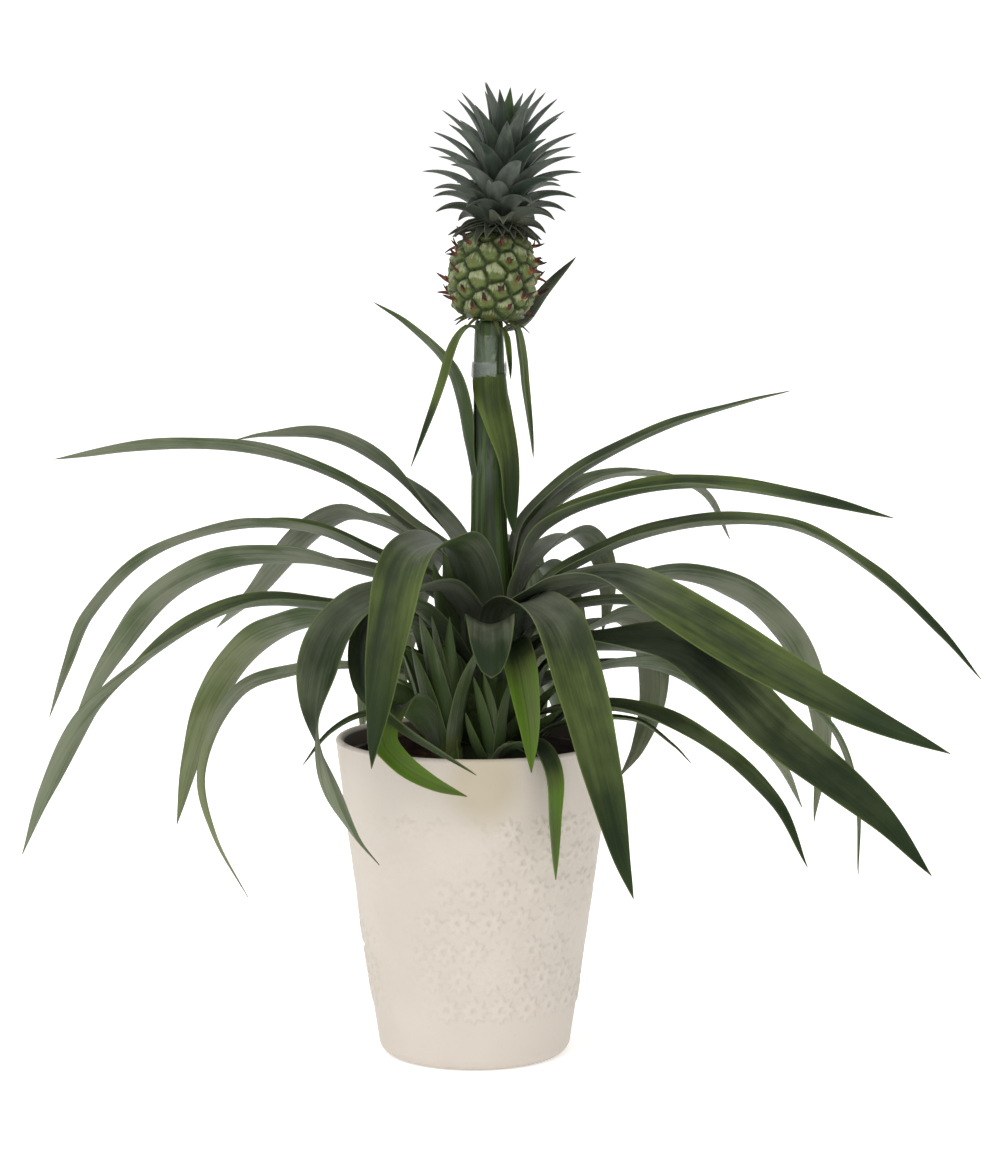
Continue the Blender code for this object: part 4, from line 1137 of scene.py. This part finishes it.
def make_sleeve(finish):
    """Clear rolled sleeve round the stalk, with a slit along one side and slightly uneven ends."""
    around = np.linspace(0, 1, SLEEVE_GRID[1])
    up = np.linspace(0, 1, SLEEVE_GRID[0])[:, None]
    turn = np.radians(SLEEVE_SLIT_AZIMUTH + SLEEVE_SLIT / 2 + (360 - SLEEVE_SLIT) * around)
    low = SLEEVE_LOW + 0.7 + 0.6 * np.sin(turn * 3)
    high = SLEEVE_HIGH - 0.7 + 0.6 * np.sin(turn * 2 + 1)
    radius = SLEEVE_INNER + 0.4 + 0.25 * np.sin(turn * 5 + up * 4)
    middle = stack(STEM_X + radius * np.cos(turn), radius * np.sin(turn), low + (high - low) * up)
    shape = Shape()
    shell(shape, middle, SLEEVE_THICKNESS, finishes=(0, 0))
    shape.piece("stalk_sleeve", [finish])


def fruit_radius(share):
    """Radius of the bare fruit at a share of its height, between its two flat ends."""
    swell = np.sin(math.pi * (0.04 + 0.92 * share ** 0.92)) ** FRUIT_FULLNESS
    return FRUIT_RADIUS * (FRUIT_END_SHARE + (1 - FRUIT_END_SHARE) * swell)


def eye_centres():
    """Centre of each eye on a golden-angle spiral: azimuth in radians and share of the height."""
    return [(math.radians(GOLDEN_ANGLE * i), (i + 0.5) / FRUIT_EYES) for i in range(FRUIT_EYES)]


def fruit_point(turn, share, rise=0.0):
    return compass(turn)[0] * (fruit_radius(share) + rise) + (0, 0, share * FRUIT_HEIGHT)


def eye_relief(points):
    """How far each point of the bare fruit rises, then its distances from the seam and the centre of
    its eye with that eye's random number, and its place on the eye, aside and up."""
    draw = random.Random(11)
    spots = np.array([fruit_point(turn, share) for turn, share in eye_centres()])
    spots += [[draw.uniform(-EYE_DRIFT, EYE_DRIFT) for _ in range(3)] for _ in spots]
    apart = np.linalg.norm(points[:, None, :] - spots[None, :, :], axis=2)
    order = np.argsort(apart, axis=1)[:, :2]
    near, second = np.take_along_axis(apart, order, axis=1).T
    seam = second - near
    own = order[:, 0]
    turns = np.array([turn for turn, _ in eye_centres()])[own]
    x, y, up = (points - spots[own]).T
    aside = y * np.cos(turns) - x * np.sin(turns)
    rise = EYE_RISE * blend(0, EYE_SEAM_REACH, seam)
    rise += EYE_DOME * (1 - np.clip(near / EYE_REACH, 0, 1) ** 2)
    rise += EYE_LUMPS * np.array([noise.noise(Vector(point) * 0.5) for point in points])
    ridge = np.exp(-(aside / 1.3) ** 2) * blend(-1.2, 1, up) * blend(3.6, 1.5, up)
    rise += HOOD_RISE * ridge - 0.7 * np.exp(-(aside / 1.3) ** 2 - ((up + 0.4) / 0.9) ** 2)
    luck = np.array([draw.random() for _ in spots])[own]
    return rise, stack(np.clip(seam / EYE_REACH, 0, 1), near, luck), stack(aside, up, own * 7.3)


def slanted(turn, tilt):
    """Unit vector at an azimuth and an angle from upright, both in radians."""
    return compass(turn)[0] * math.sin(tilt) + (0, 0, math.cos(tilt))


def bract(shape, foot, way, rise, length, width, luck, green=0.0):
    """One dry bract from its foot: a curled flap that bends towards rise and narrows to a point."""
    along = np.linspace(0, 1, 9)[:, None]
    across = np.linspace(-1, 1, 5)[None, :, None]
    aside = unit(np.cross(way, rise))
    line = foot + way * length * along + rise * length * 0.45 * along ** 2
    half = (width / 2 * (0.7 + 0.8 * along) * (1 - along) ** 0.8 + 0.08)[..., None]
    twist = along[..., None] * BRACT_TWIST * (luck - 0.5)
    flat = aside * np.cos(twist) + rise * np.sin(twist)
    up = rise * np.cos(twist) - aside * np.sin(twist)
    middle = line[:, None, :] + flat * across * half + up * across ** 2 * half * 0.7
    shell(shape, middle, 0.35 + 0.75 * (1 - along), finishes=(1, 1), bract=stack(along, luck, green),
          eye=0, spot=0)


def make_fruit(finishes):
    shares = 1 - np.arange(FRUIT_RINGS + 1) / FRUIT_RINGS
    skin = [(fruit_radius(share), FRUIT_HEIGHT * share) for share in shares]
    profile = [(0, FRUIT_HEIGHT), *skin, (0, 0)]
    points = turned_points(skin, FRUIT_STEPS)
    rise, eye, spot = eye_relief(points)
    share = points[:, 2] / FRUIT_HEIGHT
    rise *= blend(0, 0.06, share) * blend(1, 0.94, share)
    shape = Shape()
    turned(shape, profile, FRUIT_STEPS, rise.reshape(-1, FRUIT_STEPS), bract=0,
           eye=np.vstack((eye, (0, 9, 0), (0, 9, 0))), spot=np.vstack((spot, np.zeros((2, 3)))))
    draw = random.Random(7)
    extra = random.Random(23)
    for turn, share in eye_centres():
        if not BRACT_ZONE[0] < share < BRACT_ZONE[1] or extra.random() > BRACT_SHARE:
            continue
        length = draw.uniform(*BRACT_LENGTH)
        tilt = math.radians(draw.uniform(*BRACT_TILT))
        spin = turn + draw.uniform(-BRACT_SPIN, BRACT_SPIN)
        foot = fruit_point(turn, share, FRUIT_EYE_RISE)
        way = slanted(spin, tilt)
        rise = unit(np.cross(way, np.cross((0, 0, 1), way))) * extra.choice((-1, 1, 1))
        side = np.cross(way, rise) * extra.uniform(-1.2, 1.2)
        bract(shape, foot - way * BRACT_SINK, way, unit(rise + side), length, BRACT_WIDTH, extra.random())
        for _ in range(2):
            lean = math.radians(extra.uniform(*REMAINS_TILT))
            way = slanted(spin + extra.uniform(-0.7, 0.7), lean)
            rise = unit(np.cross(way, np.cross((0.1, 0, 1), way)))
            length = extra.uniform(*REMAINS_LENGTH)
            bract(shape, foot - way * 1.4, way, rise, length, REMAINS_WIDTH, extra.random())
    for i in range(BASE_BRACTS):
        out, _ = compass(2 * math.pi * i / BASE_BRACTS + extra.uniform(-0.25, 0.25))
        way = unit(out + (0, 0, extra.uniform(-0.35, 0.1)))
        foot = out * BASE_BRACT_FOOT + (0, 0, 1.4)
        length = extra.uniform(*BASE_BRACT_LENGTH)
        bract(shape, foot, way, np.array((0, 0, -1)), length, BASE_BRACT_WIDTH, extra.random(), 0.9)
    shape.lean(FRUIT_LEAN, (STEM_X, FRUIT_SEAT))
    shape.piece("fruit", finishes)


def crown_core_radius(share):
    """Radius of the crown's core at a share of its height."""
    return CROWN_CORE_RADIUS * (1 - CROWN_CORE_TAPER * share)


def crown_leaf(shape, seed, turn, foot, length, width, slopes, share):
    """One small crown leaf from its foot, given as (radius, height): broad, then a long fine point."""
    draw = random.Random(seed)
    out, side = compass(turn)
    stride = 1 / (CROWN_STATIONS - 1)
    along = np.linspace(0, 1, CROWN_STATIONS)[:, None]
    slope = np.radians(mix(slopes, along ** 1.2))
    ups = (0, 0, 1) * np.cos(slope) - out * np.sin(slope)
    slope = np.radians(mix(slopes, (along[:-1] + stride / 2) ** 1.2))
    strides = (out * np.cos(slope) + (0, 0, 1) * np.sin(slope)) * (length * stride)
    line = np.cumsum(np.vstack((out * foot[0] + (0, 0, foot[1]), strides)), axis=0)
    across = np.linspace(-1, 1, CROWN_ACROSS)
    half = np.maximum(width * (1 - along) ** 1.05 * (1 + 0.5 * along), 0.2) / 2
    channel = soft_v(across) * half * CROWN_CHANNEL
    middle = line[:, None] + side * (across * half)[..., None] + ups[:, None] * channel[..., None]
    thick = np.minimum(0.5 + 0.9 * (1 - across ** 2) * (1 - 0.7 * along), 2 * half)
    shell(shape, middle, thick, finishes=(0, 0), tone=(draw.random(), 0, 0),
          grain=stack(across * half, along * length, seed * 11.7),
          place=stack(np.abs(across), along, share))


def make_crown(finish):
    profile = [(0, CROWN_CORE_HEIGHT)]
    profile += [(crown_core_radius(share), CROWN_CORE_HEIGHT * share) for share in (1.0, 0.5, 0.1)]
    profile += [(CROWN_CORE_RADIUS - 1.5, -CROWN_CORE_SINK), (0, -CROWN_CORE_SINK)]
    shape = Shape()
    turned(shape, profile, CROWN_CORE_STEPS, grain=lambda points: points, place=0, tone=0)
    for i in range(CROWN_LEAVES):
        share = i / (CROWN_LEAVES - 1)
        if share > CROWN_SPARSE and i % 2:
            continue
        height = share ** 1.3
        foot = crown_core_radius(height) - 3, 2 + (CROWN_CORE_HEIGHT - 6) * height
        length = CROWN_LEAF_LENGTH + CROWN_LEAF_GAIN * math.sin(1.95 * share ** 0.7)
        length -= CROWN_TOP_LOSS * blend(0.75, 1, share)
        length *= 1 - CROWN_HEART_LOSS * blend(0.86, 0.94, share)
        slopes = mix(CROWN_FOOT_SLOPE, share ** 0.45), mix(CROWN_TIP_SLOPE, share ** 0.9)
        turn, width = math.radians(GOLDEN_ANGLE * i), mix(CROWN_LEAF_WIDTH, share)
        crown_leaf(shape, i, turn, foot, length, width, slopes, share)
    for i, (turn, length) in enumerate(CROWN_HEART):
        turn, foot = math.radians(turn), (1.5, CROWN_CORE_HEIGHT - 7)
        crown_leaf(shape, 90 + i, turn, foot, length, CROWN_HEART_WIDTH, CROWN_HEART_SLOPE, 1)
    draw = random.Random(31)
    for i in range(SKIRT_LEAVES):
        turn = 2 * math.pi * i / SKIRT_LEAVES + draw.uniform(-0.16, 0.16)
        foot = CROWN_CORE_RADIUS - 2, draw.uniform(-0.2, 2.4)
        slopes = draw.uniform(-8, 14), draw.uniform(-85, -15)
        length, width = draw.uniform(*SKIRT_LENGTH), draw.uniform(*SKIRT_WIDTH)
        crown_leaf(shape, 100 + i, turn, foot, length, width, slopes, -0.5)
    shape.lean(CROWN_LEAN - FRUIT_LEAN, (0, FRUIT_HEIGHT + CROWN_SEAT))
    shape.lean(FRUIT_LEAN, (STEM_X, FRUIT_SEAT))
    shape.piece("crown", [finish])


def make_shoot(row, seed, finishes):
    """A young side shoot: a stub in the soil and its narrow channelled leaves."""
    name, place, radius, look, leaves = row
    top, foot = SHOOT_FOOT + SHOOT_STUB, SHOOT_FOOT
    profile = [(0, top), (radius * 0.6, top - 0.4), (radius * 0.8, top - 3), (radius, foot), (0, foot)]
    shape = Shape()
    turned(shape, profile, SHOOT_STEPS, grain=lambda points: points, place=0, tone=0.5)
    shape.points[0][:, :2] += place
    for i, (width, *route) in enumerate(leaves):
        east, north, _ = np.subtract(route[-1], route[0])
        side = unit(np.array((-north, east, 0)))
        if width < SHOOT_TRAILING_WIDTH:
            blade(shape, route, side, width * SHOOT_FULLNESS, look, seed + i, root=SHOOT_ROOT)
        else:
            blade(shape, route, side, width, VIVID, seed + i)
    if name == "shoot_right":
        blade(shape, CURLED_TIP, (0.3, 1, 0), CURLED_TIP_WIDTH, PALE_TIP, seed + 15, root=0.9)
    shape.piece(name, finishes)


def make_plant():
    faces = [upper_finish(), under_finish()]
    for group, seed, rows in LEAVES:
        for i, row in enumerate(rows):
            make_leaf(f"{group}_{i + 1:02}", row, seed + i, faces, sheathed=group != "stalk_leaf")
    for i, row in enumerate(SHOOTS):
        make_shoot(row, 300 + 20 * i, faces)
    make_stem([*faces, stalk_finish()])
    make_sleeve(film_finish())
    make_fruit([fruit_finish(), bract_finish()])
    make_crown(crown_finish())


def make_world():
    """A white studio that is brightest overhead and behind the plant, and dimmer in front of it."""
    world = bpy.data.worlds.new("studio")
    nodes = Nodes(world)
    _, depth, height = nodes.split(nodes.node("TexCoord", {}, "Generated"))
    depth = {"Value": depth, "From Min": WORLD_TURN, "To Min": WORLD_FRONT, "To Max": WORLD_BACK}
    height = {"Value": height, "To Max": WORLD_TOP}
    glow = nodes.sum(nodes.node("MapRange", depth), nodes.node("MapRange", height))
    nodes.feed(nodes.tree.nodes["Background"], {"Color": (1, 1, 1, 1), "Strength": glow})
    bpy.context.scene.world = world


def make_stage():
    bpy.ops.mesh.primitive_plane_add(size=30)
    floor = bpy.context.object
    floor.name = "floor"
    floor.data.materials.append(floor_finish())
    make_world()
    lamp = bpy.data.lights.new("key", "SUN")
    lamp.energy = KEY_STRENGTH
    lamp.angle = math.radians(KEY_SPREAD)
    placed("key", lamp).rotation_euler = Vector(KEY_SIDE).to_track_quat("Z", "Y").to_euler()
    bpy.context.scene.view_settings.view_transform = "Standard"


def make_camera():
    """The photograph's viewpoint: nearly level, a little above the leaves."""
    lens = bpy.data.cameras.new("camera")
    lens.lens = CAMERA_LENS
    camera = placed("camera", lens)
    camera.location = CAMERA_PLACE
    camera.rotation_euler = (math.radians(90 - CAMERA_DOWN), 0, 0)
    bpy.context.scene.camera = camera


make_stage()
make_camera()
make_pot(ceramic_finish())
make_nursery_pot(dark_plastic_finish())
make_soil(soil_finish())
make_plant()
